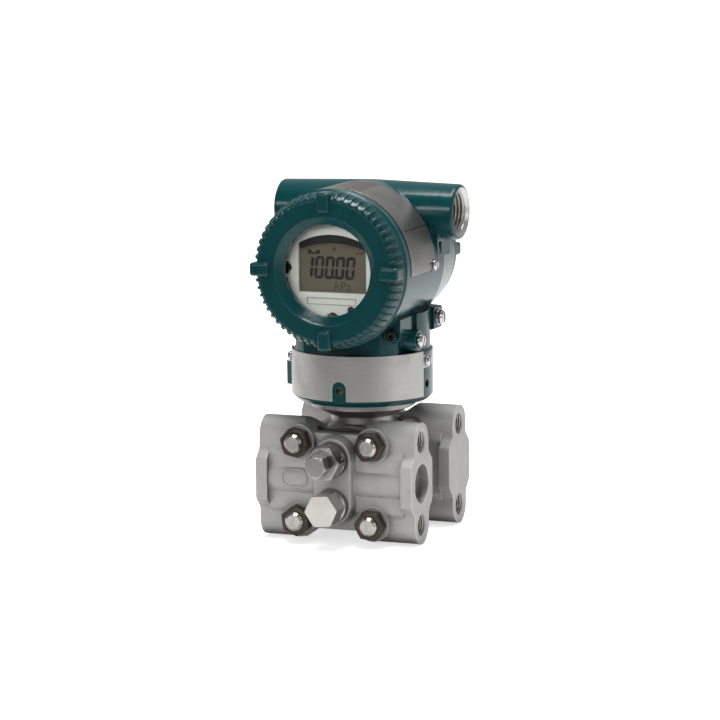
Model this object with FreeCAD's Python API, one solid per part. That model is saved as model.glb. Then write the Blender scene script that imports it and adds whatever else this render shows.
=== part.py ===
import FreeCAD, Part
import math
import os

# Differential pressure transmitter: two cast cover flanges clamp a sensor
# capsule, whose neck carries a turning cast housing with a display in front
# and wiring terminals behind. Millimetres, +X to the right seen from the
# display, +Y to the terminal side, +Z up. The origin lies on the neck axis,
# level with the bottom of the flanges.

V = FreeCAD.Vector
X_AXIS = V(1, 0, 0)
Y_AXIS = V(0, 1, 0)
Z_AXIS = V(0, 0, 1)

# ---- clearances -----------------------------------------------------------
RUN_FIT = 0.05          # radial play of turned running fits
THREAD_FIT = 0.07       # radial play of screw threads, drawn as plain bores
BODY_GAP = 0.3          # air between faces of pieces that move apart
SEAT_GAP = 0.05         # radial air round pieces that are fixed in place

# ---- cover flanges --------------------------------------------------------
FLANGE_LENGTH = 81.8    # along X, end face to end face
FLANGE_HEIGHT = 60.0
PORT_SPACING = 54.0     # between the centre lines of the two flanges
TAP_SPACING = 41.3      # tapped holes in each end face
TAP_R = 5.0             # tapping bore of a 7/16-20 UNF thread
TAP_DEPTH = 14.0
TAP_MOUTH = 0.9         # countersink of the tapped holes
PAD_HALF = 14.6         # half depth of the end pads
PAD_STRAIGHT = 8.4      # half height of the pads' flat sides
PAD_THICK = 5.9
PAD_BLEND = 3.2
WAIST_FRONT = 11.3      # half depth of the body between the pads, outer side
WAIST_STRAIGHT = 13.0
RUNWAY_R = 10.9         # bulge over the process passage
RUNWAY_RISE = 1.9
NOTCH_TOP_HALF = 19.6   # casting cut away over and under the middle
NOTCH_FLOOR_HALF = 11.5
NOTCH_DEPTH = 6.2
PORT_BORE_R = 5.95      # tapping bore of the 1/4 NPT process port
PORT_DEPTH = 20.0
PORT_SINK_R = 9.65      # gasket recess round the port
PORT_SINK_DEPTH = 5.5
PASSAGE_R = 3.0
RISER_R = 2.4           # drilling between the two plug bores
FEED_R = 2.0            # drilling from there to the chamber
DRILL_BACK = 3.0        # drillings lie this far in front of the centre line
CHAMBER_R = 16.4
CHAMBER_DEPTH = 1.6
MATE_R = 24.6           # round face that meets the capsule

# ---- boss for vent and drain ---------------------------------------------
BOSS_HALF = 9.6         # half width, lower and upper end of the boss face
BOSS_LOW = 10.5
BOSS_HIGH = 52.2
BOSS_DRAFT = 1.4        # the foot of the boss is larger all round
BOSS_PROUD = 16.0       # boss face from the flange centre line
VENT_Z = 42.3
DRAIN_Z = 19.3
PLUG_BORE_R = 5.7
PLUG_FLATS = 14.8
PLUG_COLLAR_R = 8.1     # round shoulder between a plug's hexagon and its seat
PLUG_COLLAR = 4.2
SPOT_R = 8.6
SPOT_DEPTH = 0.4
VENT_FLATS = 15.8
VENT_HEX = 14.0         # both counted from the seat
DRAIN_HEX = 15.3
VENT_SCREW_FLATS = 9.8
VENT_SCREW_HEX = 7.6
VENT_STEM_R = 2.2
VENT_STEM = 9.0

# ---- flange bolts ---------------------------------------------------------
BOLT_X = 19.35
BOLT_Z = 19.4
BOLT_R = 4.7
BOLT_BOSS_R = 8.6
NUT_SEAT = 11.8         # nut seat from the flange centre line
NUT_FLATS = 13.2
NUT_THICK = 5.8
BOLT_TIP = 1.9          # thread past the nut
BOLT_HEAD = 6.4

# ---- capsule --------------------------------------------------------------
CAPSULE_HALF = 13.0
CAPSULE_R = 25.6
BOLT_AIR = 0.4          # air round the bolts where they pass the capsule
GASKET_R = 20.9
GASKET_WIDTH = 2.0
GASKET_DEPTH = 1.2
DIAPHRAGM_R = 18.6
DIAPHRAGM_STEP = 1.4    # recess of the diaphragm in the capsule face
DIAPHRAGM_THICK = 0.3
FLUID_R = 15.4
FLUID_DEPTH = 0.8
NECK_R = 16.2
NECK_FOOT_R = 20.5
NECK_FOOT_Z = 51.5
NECK_WAIST_Z = 54.6
NECK_CONE_Z = 58.4
NECK_SHOULDER_R = 26.0
NECK_SHOULDER_Z = 63.2
COLLAR_Z = 66.6         # underside of the housing collar
STEM_R = 22.0
STEM_TOP = 90.0
STEM_BORE_R = 17.0
STEM_FLOOR = 70.0
ORING_R = 1.3           # section of the neck seal
ORING_DROP = 8.0        # from the top of the stem to the groove
PIN_LENGTH = 8.0
PIN_CIRCLE_R = 6.0

# ---- housing --------------------------------------------------------------
COLLAR_R = 34.8
COLLAR_TOP = 92.2
COLLAR_CHAMFER = 2.2
PEDESTAL_R = 33.6
PEDESTAL_FRONT = -9.5
PEDESTAL_REAR = 26.0
BLOCK_HALF = 27.0
BLOCK_FRONT = -28.5
AXIS_Z = 135.3          # height of the housing's round body
BODY_R = 38.4
BODY_FRONT = -35.2
BODY_REAR = 42.0
BODY_REAR_R = 33.9
BODY_TAPER_Y = 13.0
FRONT_BORE_R = 33.7
REAR_BORE_R = 29.6
FRONT_FLOOR = -9.0      # faces of the wall between the two chambers
REAR_FLOOR = 0.5
CONDUIT_Y = 13.5
CONDUIT_Z = 158.8
CONDUIT_HALF = 47.3
CONDUIT_R = 13.7
CONDUIT_MID_R = 14.9
CONDUIT_BORE_R = 10.3
CONDUIT_MOUTH_R = 12.0
CONDUIT_MOUTH = 1.7
CONDUIT_THREAD = 17.0
WEB_X = 38.4            # webs under the ends of the cross tube
WEB_Y = 3.6
CABLE_BORE_R = 6.0
CABLE_BORE_Y = -16.0
SIDE_BOSS_X = 39.7
SIDE_BOSS_HALF = 6.0
SIDE_BOSS_Z = 77.4

# ---- screwed covers -------------------------------------------------------
PITCH = 1.5
COVER_RIM_R = 39.0
COVER_RIM_FRONT = 4.8   # all cover lengths count outward from the rim's back
COVER_FACE = 14.0
COVER_EDGE = 4.8        # ribbed shoulder, from the rim in to the flat face
LUG_PROUD = 2.6
LUG_INNER = 10.4        # lug ends, from the rim inward
LUG_OUTER = 0.6
LUG_WIDTH = 6.6
LUG_ROUND = 1.5
WINDOW_R = 22.4
WINDOW_BEVEL_R = 25.8
WINDOW_BEVEL = 3.6
GLASS_R = 26.6
GLASS_THICK = 4.0
RETAINER_DEPTH = 2.6
RETAINER_WIDTH = 2.4
SKIRT_LENGTH = 7.4
SKIRT_WALL = 3.4
COVER_SEAL_R = 1.1
RIB_COUNT = 60
RIB_WIDTH = 1.3
RIB_PROUD = 0.6
REAR_RIM_R = 32.8
REAR_FACE = 10.6

# ---- display --------------------------------------------------------------
BEZEL_R = 24.4
BEZEL_FACE = -38.0
BEZEL_DEPTH = 5.0
BEZEL_WALL = 1.6
LCD_HALF = 17.6
LCD_LOW = 123.7
LCD_SHOULDER = 147.5
LCD_CROWN = 152.0
LCD_RECESS = 1.0
LCD_THICK = 2.0
LCD_BOARD = 1.6
SCREW_NOTCH_R = 3.2
DISPLAY_SCREW_R = 2.6
BUTTON_X = 9.6
BUTTON_Z = 115.6
BUTTON_R = 1.8
BUTTON_SUNK = 0.2       # the button's face lies this far behind the bezel's

# ---- electronics ----------------------------------------------------------
AMP_CASE_R = 31.0
AMP_CASE_DEPTH = 17.8
AMP_WALL = 1.8
AMP_BOARD_R = 29.9
BOARD_THICK = 1.6
TERMINAL_R = 26.5
TERMINAL_DEPTH = 9.0
TERMINAL_FACE = 30.0
TERMINAL_COUNT = 5
SENSOR_BOARD_R = 14.0

# ---- name band, name plate, small screws ----------------------------------
BAND_THICK = 0.6
BAND_LOW = 69.6
BAND_HIGH = 91.9
BAND_START = -168.0     # degrees about +Z
BAND_END = -11.5
BAND_NOTCH_R = 3.5
BAND_NOTCH_Z = 75.9
BAND_NOTCH_ANGLE = -88.0
PLATE_THICK = 0.5
PLATE_FRONT = -33.6
PLATE_REAR = -1.8
PLATE_DROP = 4.3        # degrees that the plate runs below the horizontal
SMALL_SCREW_R = 2.7
SMALL_SCREW_HEAD = 1.8
SET_SCREW_R = 1.9
GROUND_Y = 17.0
GROUND_Z = 105.6
GROUND_X = 33.6
GROUND_WASHER_R = 4.2
GROUND_WASHER = 0.6
GROUND_SCREW_R = 3.6
ZERO_Y = -13.5
ZERO_Z = 98.3
ZERO_X = 35.0
ZERO_BOSS_R = 5.2
ZERO_STEM_R = 2.0
ZERO_HEAD_R = 3.5
LOCK_OUT = 3.9          # lock bolts stand this far outside the round body
LOCK_ANGLE = 38.96      # degrees from straight down
LOCK_R = 2.75
LOCK_HEAD = 3.0
LOCK_LUG_R = 4.2
LOCK_SHANK = 8.0
REAR_LOCK_ANGLE = 38.23
REAR_LOCK_Y = 36.0

# ---- values that follow from the above ------------------------------------
FLANGE_MID_Y = PORT_SPACING / 2
FLANGE_MID_Z = FLANGE_HEIGHT / 2
LOBE_R = (FLANGE_HEIGHT - TAP_SPACING) / 2
FLANGE_HALF = FLANGE_LENGTH / 2
MATE_Y = CAPSULE_HALF - FLANGE_MID_Y
COVER_RIM_Y = BODY_FRONT - BODY_GAP
REAR_RIM_Y = BODY_REAR + BODY_GAP
HOUSING_AXIS = V(0, 0, AXIS_Z)
LOCK_X = (BODY_R + LOCK_OUT) * math.sin(math.radians(LOCK_ANGLE))
LOCK_Z = AXIS_Z - (BODY_R + LOCK_OUT) * math.cos(math.radians(LOCK_ANGLE))
REAR_LOCK_X = (BODY_REAR_R + LOCK_OUT) * math.sin(math.radians(REAR_LOCK_ANGLE))
REAR_LOCK_Z = AXIS_Z - (BODY_REAR_R + LOCK_OUT) * math.cos(math.radians(REAR_LOCK_ANGLE))


# ---- small helpers --------------------------------------------------------
def cylinder(radius, length, base, axis):
    return Part.makeCylinder(radius, length, V(*base), axis)


def block(low, high):
    size = V(*high) - V(*low)
    return Part.makeBox(size.x, size.y, size.z, V(*low))


def prism(points, travel):
    """Extrude the flat polygon through points along the vector travel."""
    corners = [V(*point) for point in points]
    return Part.Face(Part.makePolygon(corners + corners[:1])).extrude(travel)


def spun(profile, centre, axis, side):
    """Turn a profile of (radius, length along axis) pairs about axis."""
    points = [centre + side * radius + axis * along for radius, along in profile]
    face = Part.Face(Part.makePolygon(points + points[:1]))
    return face.revolve(centre, axis, 360)


def hexagon(flats, length, base, axis, turn=0.0, crown=0.97, heel=0.0):
    """Hexagonal bar whose far rim, and near rim if heel is given, is turned down."""
    corner = flats / 2 / math.cos(math.pi / 6)
    side = Z_AXIS if abs(axis.z) < 0.5 else X_AXIS
    other = axis.cross(side)
    points = []
    for index in range(7):
        angle = math.radians(60 * index + turn)
        points.append(V(*base) + side * corner * math.cos(angle) + other * corner * math.sin(angle))
    bar = Part.Face(Part.makePolygon(points)).extrude(axis * length)
    drop = (corner * 1.01 - flats / 2 * crown) * 0.55
    cap = [(0, 0), (corner * 1.01 - heel * 1.8, 0), (corner * 1.01, heel), (corner * 1.01, length - drop),
           (flats / 2 * crown, length), (0, length)]
    if not heel:
        del cap[2]
    return bar.common(spun(cap, V(*base), axis, side))


def around(shape, centre, axis, angle):
    turned = shape.copy()
    turned.rotate(centre, axis, angle)
    return turned


def ring(outer, inner, length, base, axis):
    return cylinder(outer, length, base, axis).cut(cylinder(inner, length, base, axis))


def both_ends(shape):
    """The same piece on the terminal side: half a turn about the neck axis."""
    return around(shape, V(0, 0, 0), Z_AXIS, 180)


def slotted(head, centre, axis, across, radius, depth, width):
    """Cut a screwdriver slot into the end of a screw head."""
    third = axis.cross(across)
    start = centre - across * (radius + 1) - third * (width / 2) - axis * depth
    points = [start, start + across * 2 * (radius + 1)]
    points += [points[1] + third * width, start + third * width]
    return head.cut(prism(points, axis * (depth + 1)))


def pan_screw(seat, axis, head_r, head_h, shank_r, shank, across):
    """Pan head screw whose head stands on seat and points along axis."""
    profile = [(0, -shank), (shank_r, -shank), (shank_r, 0), (head_r, 0), (head_r, head_h * 0.45),
               (head_r * 0.72, head_h), (0, head_h)]
    side = axis.cross(across)
    screw = spun(profile, seat, axis, side)
    return slotted(screw, seat + axis * head_h, axis, across, head_r, head_h * 0.5, head_r * 0.3)


def polar(radius, degrees, height):
    angle = math.radians(degrees)
    return V(radius * math.cos(angle), radius * math.sin(angle), height)


# ---- cover flange ---------------------------------------------------------
def half_outline(half, straight, sign):
    """One side of a lobed outline, bottom to top, as edges in (depth, height)."""
    slope = math.sqrt(0.5)
    rise = half - LOBE_R
    top = straight + rise - 2 * PAD_BLEND * (1 - slope) + 2 * PAD_BLEND * slope
    inner = LOBE_R + PAD_BLEND
    outer = half - PAD_BLEND
    cut = PAD_BLEND * slope
    fine = PAD_BLEND * math.sin(math.radians(22.5))
    broad = PAD_BLEND * math.cos(math.radians(22.5))
    upper = [
        [(outer + cut, straight + cut), (outer + broad, straight + fine), (half, straight)],
        [(inner - cut, top - cut), (outer + cut, straight + cut)],
        [(LOBE_R, top), (inner - broad, top - fine), (inner - cut, top - cut)],
        [(LOBE_R, TAP_SPACING / 2), (LOBE_R, top)],
    ]
    edges = [[(half, -straight), (half, straight)]]
    for edge in upper:
        edges.append(edge)
        edges.append([(depth, -height) for depth, height in edge])
    return [[(sign * depth, height) for depth, height in edge] for edge in edges]


def lobed_bar(front_half, front_straight, inner_half, inner_straight, x_low, x_high):
    """Bar along X with two round lobes and a stepped side front and back."""
    def at(point):
        return V(x_low, -FLANGE_MID_Y + point[0], FLANGE_MID_Z + point[1])

    edges = []
    for edge in half_outline(front_half, front_straight, -1) + half_outline(inner_half, inner_straight, 1):
        if len(edge) == 2:
            edges.append(Part.makeLine(at(edge[0]), at(edge[1])))
        else:
            edges.append(Part.Arc(at(edge[0]), at(edge[1]), at(edge[2])).toShape())
    for sign in (-1, 1):
        middle = sign * TAP_SPACING / 2
        arc = Part.Arc(at((-LOBE_R, middle)), at((0, middle + sign * LOBE_R)), at((LOBE_R, middle)))
        edges.append(arc.toShape())
    wire = Part.Wire(Part.__sortEdges__(edges))
    return Part.Face(wire).extrude(V(x_high - x_low, 0, 0))


def middle_notches():
    """Wedges cut from the casting above and below the capsule."""
    cuts = []
    for sign in (-1, 1):
        edge = FLANGE_MID_Z + sign * FLANGE_MID_Z
        floor = edge - sign * NOTCH_DEPTH
        outline = [(-NOTCH_TOP_HALF, edge + sign), (-NOTCH_TOP_HALF, edge), (-NOTCH_FLOOR_HALF, floor),
                   (NOTCH_FLOOR_HALF, floor), (NOTCH_TOP_HALF, edge), (NOTCH_TOP_HALF, edge + sign)]
        y_low = -FLANGE_MID_Y - PAD_HALF
        cuts.append(prism([(x, y_low, z) for x, z in outline], V(0, 2 * PAD_HALF, 0)))
    return cuts


def plug_boss():
    """Upright oblong boss with drafted sides that takes the vent and the drain plug."""
    face = -FLANGE_MID_Y - BOSS_PROUD
    foot = -FLANGE_MID_Y - WAIST_FRONT
    base = BOSS_HALF + BOSS_DRAFT
    drafted = Part.makeLoft([oblong(foot, base), oblong(face, BOSS_HALF)], True, True)
    root = Part.Face(oblong(foot, base)).extrude(V(0, WAIST_FRONT, 0))
    rim = [edge for edge in drafted.Edges if abs(edge.BoundBox.YMax - face) < 1e-6]
    return drafted.makeFillet(0.9, rim).fuse(root)


def oblong(y, half):
    """Wire of an upright oblong about the boss's two plug centres."""
    grow = half - BOSS_HALF
    low = BOSS_LOW - grow + half
    high = BOSS_HIGH + grow - half
    edges = [Part.makeLine(V(half, y, low), V(half, y, high)),
             Part.Arc(V(half, y, high), V(0, y, high + half), V(-half, y, high)).toShape(),
             Part.makeLine(V(-half, y, high), V(-half, y, low)),
             Part.Arc(V(-half, y, low), V(0, y, low - half), V(half, y, low)).toShape()]
    return Part.Wire(edges)


def tapped_end_holes(sign):
    """Two tapped holes in one end face, each with a countersunk mouth."""
    holes = []
    end = sign * FLANGE_HALF
    for height in (-TAP_SPACING / 2, TAP_SPACING / 2):
        centre = V(end, -FLANGE_MID_Y, FLANGE_MID_Z + height)
        axis = X_AXIS * -sign
        profile = [(0, -1), (TAP_R + TAP_MOUTH + 1, -1), (TAP_R + TAP_MOUTH, 0), (TAP_R, TAP_MOUTH),
                   (TAP_R, TAP_DEPTH), (0, TAP_DEPTH + TAP_R * 0.5)]
        holes.append(spun(profile, centre, axis, Z_AXIS))
    return holes


def process_passages():
    """Process port in the +X end, and the drillings on to the chamber."""
    drill_y = -FLANGE_MID_Y - DRILL_BACK
    axis = X_AXIS * -1
    port = [(0, -1), (PORT_SINK_R, -1), (PORT_SINK_R, PORT_SINK_DEPTH), (PORT_BORE_R, PORT_SINK_DEPTH),
            (PORT_BORE_R, PORT_DEPTH), (PASSAGE_R, PORT_DEPTH + 2), (PASSAGE_R, FLANGE_HALF + 1), (0, FLANGE_HALF + 1)]
    cuts = [spun(port, V(FLANGE_HALF, -FLANGE_MID_Y, FLANGE_MID_Z), axis, Z_AXIS)]
    cuts.append(cylinder(RISER_R, VENT_Z - DRAIN_Z + 3, (0, drill_y, DRAIN_Z - 1.5), Z_AXIS))
    cuts.append(cylinder(FEED_R, -CAPSULE_HALF - drill_y - 0.7, (0, drill_y + 0.7, FLANGE_MID_Z), Y_AXIS))
    cuts.append(cylinder(CHAMBER_R, CHAMBER_DEPTH, (0, -CAPSULE_HALF - CHAMBER_DEPTH, FLANGE_MID_Z), Y_AXIS))
    face = -FLANGE_MID_Y - BOSS_PROUD
    for height in (DRAIN_Z, VENT_Z):
        cuts.append(cylinder(PLUG_BORE_R, drill_y + 1.3 - face, (0, face, height), Y_AXIS))
        cuts.append(cylinder(SPOT_R, SPOT_DEPTH, (0, face, height), Y_AXIS))
    return cuts


def bolt_places():
    return [(x, FLANGE_MID_Z + z) for x in (-BOLT_X, BOLT_X) for z in (-BOLT_Z, BOLT_Z)]


def cover_flange():
    """Cast stainless cover flange of the display side."""
    pads = [lobed_bar(PAD_HALF, PAD_STRAIGHT, PAD_HALF, PAD_STRAIGHT, low, low + PAD_THICK)
            for low in (-FLANGE_HALF, FLANGE_HALF - PAD_THICK)]
    waist = lobed_bar(WAIST_FRONT, WAIST_STRAIGHT, WAIST_FRONT, WAIST_STRAIGHT,
                      -FLANGE_HALF + PAD_THICK, FLANGE_HALF - PAD_THICK)
    runway_y = -FLANGE_MID_Y - WAIST_FRONT - RUNWAY_RISE + RUNWAY_R
    runway = cylinder(RUNWAY_R, FLANGE_LENGTH - 2, (-FLANGE_HALF + 1, runway_y, FLANGE_MID_Z), X_AXIS)
    casting = waist.fuse(pads + [runway]).cut(middle_notches())
    seats = [cylinder(BOLT_BOSS_R, NUT_SEAT, (x, -FLANGE_MID_Y - NUT_SEAT, z), Y_AXIS)
             for x, z in bolt_places()]
    mate = cylinder(MATE_R, FLANGE_MID_Y - CAPSULE_HALF, (0, -FLANGE_MID_Y, FLANGE_MID_Z), Y_AXIS)
    casting = casting.fuse(seats + [mate, plug_boss()])
    bores = [cylinder(BOLT_R + SEAT_GAP, PORT_SPACING, (x, -PORT_SPACING, z), Y_AXIS)
             for x, z in bolt_places()]
    for tool in bores + process_passages() + tapped_end_holes(-1) + tapped_end_holes(1):
        casting = casting.cut(tool)
    return casting


# ---- capsule and its seals ------------------------------------------------
def capsule_body():
    """Welded capsule with the neck that carries the housing."""
    centre = V(0, -CAPSULE_HALF, FLANGE_MID_Z)
    disc = cylinder(CAPSULE_R, 2 * CAPSULE_HALF, tuple(centre), Y_AXIS)
    neck = [(0, FLANGE_MID_Z), (NECK_FOOT_R - 4, FLANGE_MID_Z), (NECK_FOOT_R, NECK_FOOT_Z),
            (NECK_R + 1.1, NECK_WAIST_Z - 1.1), (NECK_R, NECK_WAIST_Z), (NECK_R, NECK_CONE_Z),
            (NECK_SHOULDER_R, NECK_SHOULDER_Z), (NECK_SHOULDER_R, COLLAR_Z - BODY_GAP),
            (STEM_R, COLLAR_Z - BODY_GAP), (STEM_R, STEM_TOP), (0, STEM_TOP)]
    foot = spun(neck, V(0, 0, 0), Z_AXIS, X_AXIS)
    split = FLANGE_MID_Z + MATE_R + BODY_GAP + 0.1
    limit = block((-CAPSULE_R, -CAPSULE_HALF, 0), (CAPSULE_R, CAPSULE_HALF, split))
    wide = 2 * NECK_SHOULDER_R
    above = block((-wide, -wide, split), (wide, wide, STEM_TOP))
    body = disc.fuse(foot.common(limit.fuse(above))).removeSplitter()
    cuts = [cylinder(STEM_BORE_R, STEM_TOP, (0, 0, STEM_FLOOR), Z_AXIS),
            cylinder(4.0, STEM_FLOOR - FLANGE_MID_Z, (0, 0, FLANGE_MID_Z), Z_AXIS)]
    for sign in (-1, 1):
        face = V(0, sign * CAPSULE_HALF, FLANGE_MID_Z)
        inward = Y_AXIS * -sign
        cuts.append(cylinder(DIAPHRAGM_R + SEAT_GAP, DIAPHRAGM_STEP, tuple(face), inward))
        floor = face + inward * DIAPHRAGM_STEP
        cuts.append(cylinder(FLUID_R, FLUID_DEPTH, tuple(floor), inward))
        cuts.append(ring(GASKET_R + GASKET_WIDTH / 2, GASKET_R - GASKET_WIDTH / 2, GASKET_DEPTH,
                         tuple(face), inward))
    cuts += [cylinder(BOLT_R + BOLT_AIR, PORT_SPACING, (x, -FLANGE_MID_Y, z), Y_AXIS) for x, z in bolt_places()]
    groove = ring(STEM_R + 1, STEM_R - 2 * ORING_R, 2 * ORING_R + 0.2,
                  (0, 0, STEM_TOP - ORING_DROP), Z_AXIS)
    return body.cut(cuts + [groove])


def capsule_gasket(sign):
    face = V(0, sign * CAPSULE_HALF, FLANGE_MID_Z)
    return ring(GASKET_R + GASKET_WIDTH / 2, GASKET_R - GASKET_WIDTH / 2, GASKET_DEPTH,
                tuple(face), Y_AXIS * -sign)


def diaphragm(sign):
    """Thin corrugated disc, clamped at its flat rim."""
    seat = V(0, sign * (CAPSULE_HALF - DIAPHRAGM_STEP), FLANGE_MID_Z)
    outward = Y_AXIS * sign
    waves = 4
    step = (FLUID_R - 3) / (2 * waves)
    radii = [FLUID_R - step * index for index in range(2 * waves)]
    ripple = [(radius, 0.25 * (index % 2)) for index, radius in enumerate(radii)]
    lower = [(DIAPHRAGM_R, 0)] + ripple + [(0, 0)]
    upper = [(radius, height + DIAPHRAGM_THICK) for radius, height in reversed(lower)]
    return spun(lower + upper, seat, outward, Z_AXIS)


def neck_oring():
    """Seal in the groove near the top of the stem."""
    centre_r = STEM_R - ORING_R
    height = STEM_TOP - ORING_DROP + ORING_R + 0.1
    return Part.makeTorus(centre_r, ORING_R - 0.02, V(0, 0, height), Z_AXIS)


def sensor_header():
    """Metal disc with the glass-sealed pins of the sensor, welded in the stem."""
    disc = cylinder(STEM_BORE_R - SEAT_GAP, 3.0, (0, 0, STEM_FLOOR), Z_AXIS)
    pins = [cylinder(0.5, PIN_LENGTH, tuple(polar(PIN_CIRCLE_R, 60 * index, STEM_FLOOR + 3)), Z_AXIS)
            for index in range(6)]
    return disc.fuse(pins)


def sensor_board():
    """Small round board soldered to the header's pins."""
    board = cylinder(SENSOR_BOARD_R, BOARD_THICK, (0, 0, STEM_FLOOR + 11), Z_AXIS)
    chip = block((-4, -4, STEM_FLOOR + 11 + BOARD_THICK), (4, 4, STEM_FLOOR + 13 + BOARD_THICK))
    plug = block((-5, 6, STEM_FLOOR + 11 + BOARD_THICK), (5, 10, STEM_FLOOR + 14 + BOARD_THICK))
    return board.fuse([chip, plug])


# ---- plugs and bolts ------------------------------------------------------
def plug_seat(height):
    return V(0, -FLANGE_MID_Y - BOSS_PROUD + SPOT_DEPTH, height)


def plug_shank(seat):
    """Threaded shank and the round shoulder in front of the seat."""
    depth = BOSS_PROUD - DRILL_BACK - SPOT_DEPTH - PASSAGE_R - 0.5
    profile = [(0, depth), (PLUG_BORE_R - SEAT_GAP - 0.8, depth), (PLUG_BORE_R - SEAT_GAP, depth - 0.8),
               (PLUG_BORE_R - SEAT_GAP, 0), (PLUG_COLLAR_R, 0), (PLUG_COLLAR_R, 0.6 - PLUG_COLLAR),
               (PLUG_COLLAR_R - 0.6, -PLUG_COLLAR), (0, -PLUG_COLLAR)]
    return spun(profile, seat, Y_AXIS, Z_AXIS)


def plug_hexagon(seat, flats, reach, turn, crown):
    base = seat - Y_AXIS * PLUG_COLLAR
    return hexagon(flats, reach - PLUG_COLLAR, tuple(base), Y_AXIS * -1, turn, crown, 0.5)


def vent_plug():
    """Hexagonal vent body with a seat for the vent screw and a side outlet."""
    seat = plug_seat(VENT_Z)
    body = plug_hexagon(seat, VENT_FLATS, VENT_HEX, 33, 0.97).fuse(plug_shank(seat))
    face = seat - Y_AXIS * VENT_HEX
    stem_bore = cylinder(VENT_STEM_R + RUN_FIT, VENT_STEM + 0.6, tuple(face), Y_AXIS)
    inlet = cylinder(1.2, VENT_HEX + BOSS_PROUD, tuple(face), Y_AXIS)
    outlet = cylinder(1.1, PLUG_FLATS, tuple(face + Y_AXIS * (VENT_STEM - 2.5)), V(1, 0, 0.35))
    return body.cut([stem_bore, inlet, outlet])


def vent_screw():
    """Small hexagon screw with a coned tip that shuts the vent."""
    face = plug_seat(VENT_Z) - Y_AXIS * (VENT_HEX + BODY_GAP)
    head = hexagon(VENT_SCREW_FLATS, VENT_SCREW_HEX, tuple(face), Y_AXIS * -1, 20)
    stem = [(0, 0), (VENT_STEM_R, 0), (VENT_STEM_R, VENT_STEM - 1.5), (0.8, VENT_STEM), (0, VENT_STEM)]
    return head.fuse(spun(stem, face, Y_AXIS, Z_AXIS))


def drain_plug():
    seat = plug_seat(DRAIN_Z)
    return plug_hexagon(seat, PLUG_FLATS, DRAIN_HEX, 35, 1.1).fuse(plug_shank(seat))


def flange_bolts():
    """Four hexagon bolts from the terminal side, threaded ends in front."""
    bolts = []
    tip = -FLANGE_MID_Y - NUT_SEAT - NUT_THICK - BOLT_TIP
    seat = FLANGE_MID_Y + NUT_SEAT
    for x, z in bolt_places():
        shank = [(0, tip), (BOLT_R - 1.2, tip), (BOLT_R, tip + 1.2), (BOLT_R, seat), (0, seat)]
        bolt = spun(shank, V(x, 0, z), Y_AXIS, Z_AXIS)
        bolts.append(bolt.fuse(hexagon(NUT_FLATS, BOLT_HEAD, (x, seat, z), Y_AXIS, 10)))
    return Part.makeCompound(bolts)


def flange_nuts():
    nuts = []
    seat = -FLANGE_MID_Y - NUT_SEAT
    for index, (x, z) in enumerate(bolt_places()):
        nut = hexagon(NUT_FLATS, NUT_THICK, (x, seat, z), Y_AXIS * -1, 8 + 9 * index)
        nuts.append(nut.cut(cylinder(BOLT_R + SEAT_GAP, NUT_THICK, (x, seat, z), Y_AXIS * -1)))
    return Part.makeCompound(nuts)


# ---- housing casting ------------------------------------------------------
def conduit_tube():
    """Cross tube for the cable entries, a little thicker in the middle."""
    edge = 1.2
    end = [(CONDUIT_R - edge, CONDUIT_HALF), (CONDUIT_R - edge * 0.35, CONDUIT_HALF - edge * 0.35),
           (CONDUIT_R, CONDUIT_HALF - edge)]
    profile = [(0, -CONDUIT_HALF)] + [(radius, -along) for radius, along in end]
    profile += [(CONDUIT_MID_R, 0)] + end[::-1] + [(0, CONDUIT_HALF)]
    return spun(profile, V(0, CONDUIT_Y, CONDUIT_Z), X_AXIS, Z_AXIS)


def round_body():
    rim = 1.2
    profile = [(0, BODY_FRONT), (BODY_R - rim, BODY_FRONT), (BODY_R, BODY_FRONT + rim), (BODY_R, BODY_TAPER_Y),
               (BODY_REAR_R, BODY_REAR - rim), (BODY_REAR_R - rim, BODY_REAR), (0, BODY_REAR)]
    return spun(profile, HOUSING_AXIS, Y_AXIS, Z_AXIS)


def collar():
    profile = [(0, COLLAR_Z), (COLLAR_R - COLLAR_CHAMFER, COLLAR_Z), (COLLAR_R, COLLAR_Z + COLLAR_CHAMFER),
               (COLLAR_R, COLLAR_TOP - 1), (COLLAR_R - 1, COLLAR_TOP), (0, COLLAR_TOP)]
    turned = spun(profile, V(0, 0, 0), Z_AXIS, X_AXIS)
    outline = [(-SIDE_BOSS_X, -3.0), (-SIDE_BOSS_X, 3.0), (-COLLAR_R + 1, SIDE_BOSS_HALF), (0, SIDE_BOSS_HALF),
               (0, -SIDE_BOSS_HALF), (-COLLAR_R + 1, -SIDE_BOSS_HALF)]
    low = SIDE_BOSS_Z - SIDE_BOSS_HALF
    side_boss = prism([(x, y, low) for x, y in outline], V(0, 0, 2 * SIDE_BOSS_HALF))
    return turned.fuse(side_boss)


def pedestal():
    """Part of the casting between the collar and the round body."""
    top = AXIS_Z - BODY_R + 14
    column = cylinder(PEDESTAL_R, top - COLLAR_TOP + 1, (0, 0, COLLAR_TOP - 1), Z_AXIS)
    keep = block((-PEDESTAL_R, PEDESTAL_FRONT, COLLAR_Z), (PEDESTAL_R, PEDESTAL_REAR, AXIS_Z))
    front = block((-BLOCK_HALF, BLOCK_FRONT, COLLAR_TOP - 1), (BLOCK_HALF, PEDESTAL_FRONT, top - 4))
    edges = [edge for edge in front.Edges
             if abs(edge.BoundBox.YMax - BLOCK_FRONT) < 1e-6 and edge.BoundBox.ZLength > 1e-3]
    front = front.makeFillet(3.0, edges)
    foot = cylinder(COLLAR_R, 40, (0, 0, COLLAR_TOP - 2), Z_AXIS)
    return column.common(keep).fuse(front.common(foot))


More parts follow.
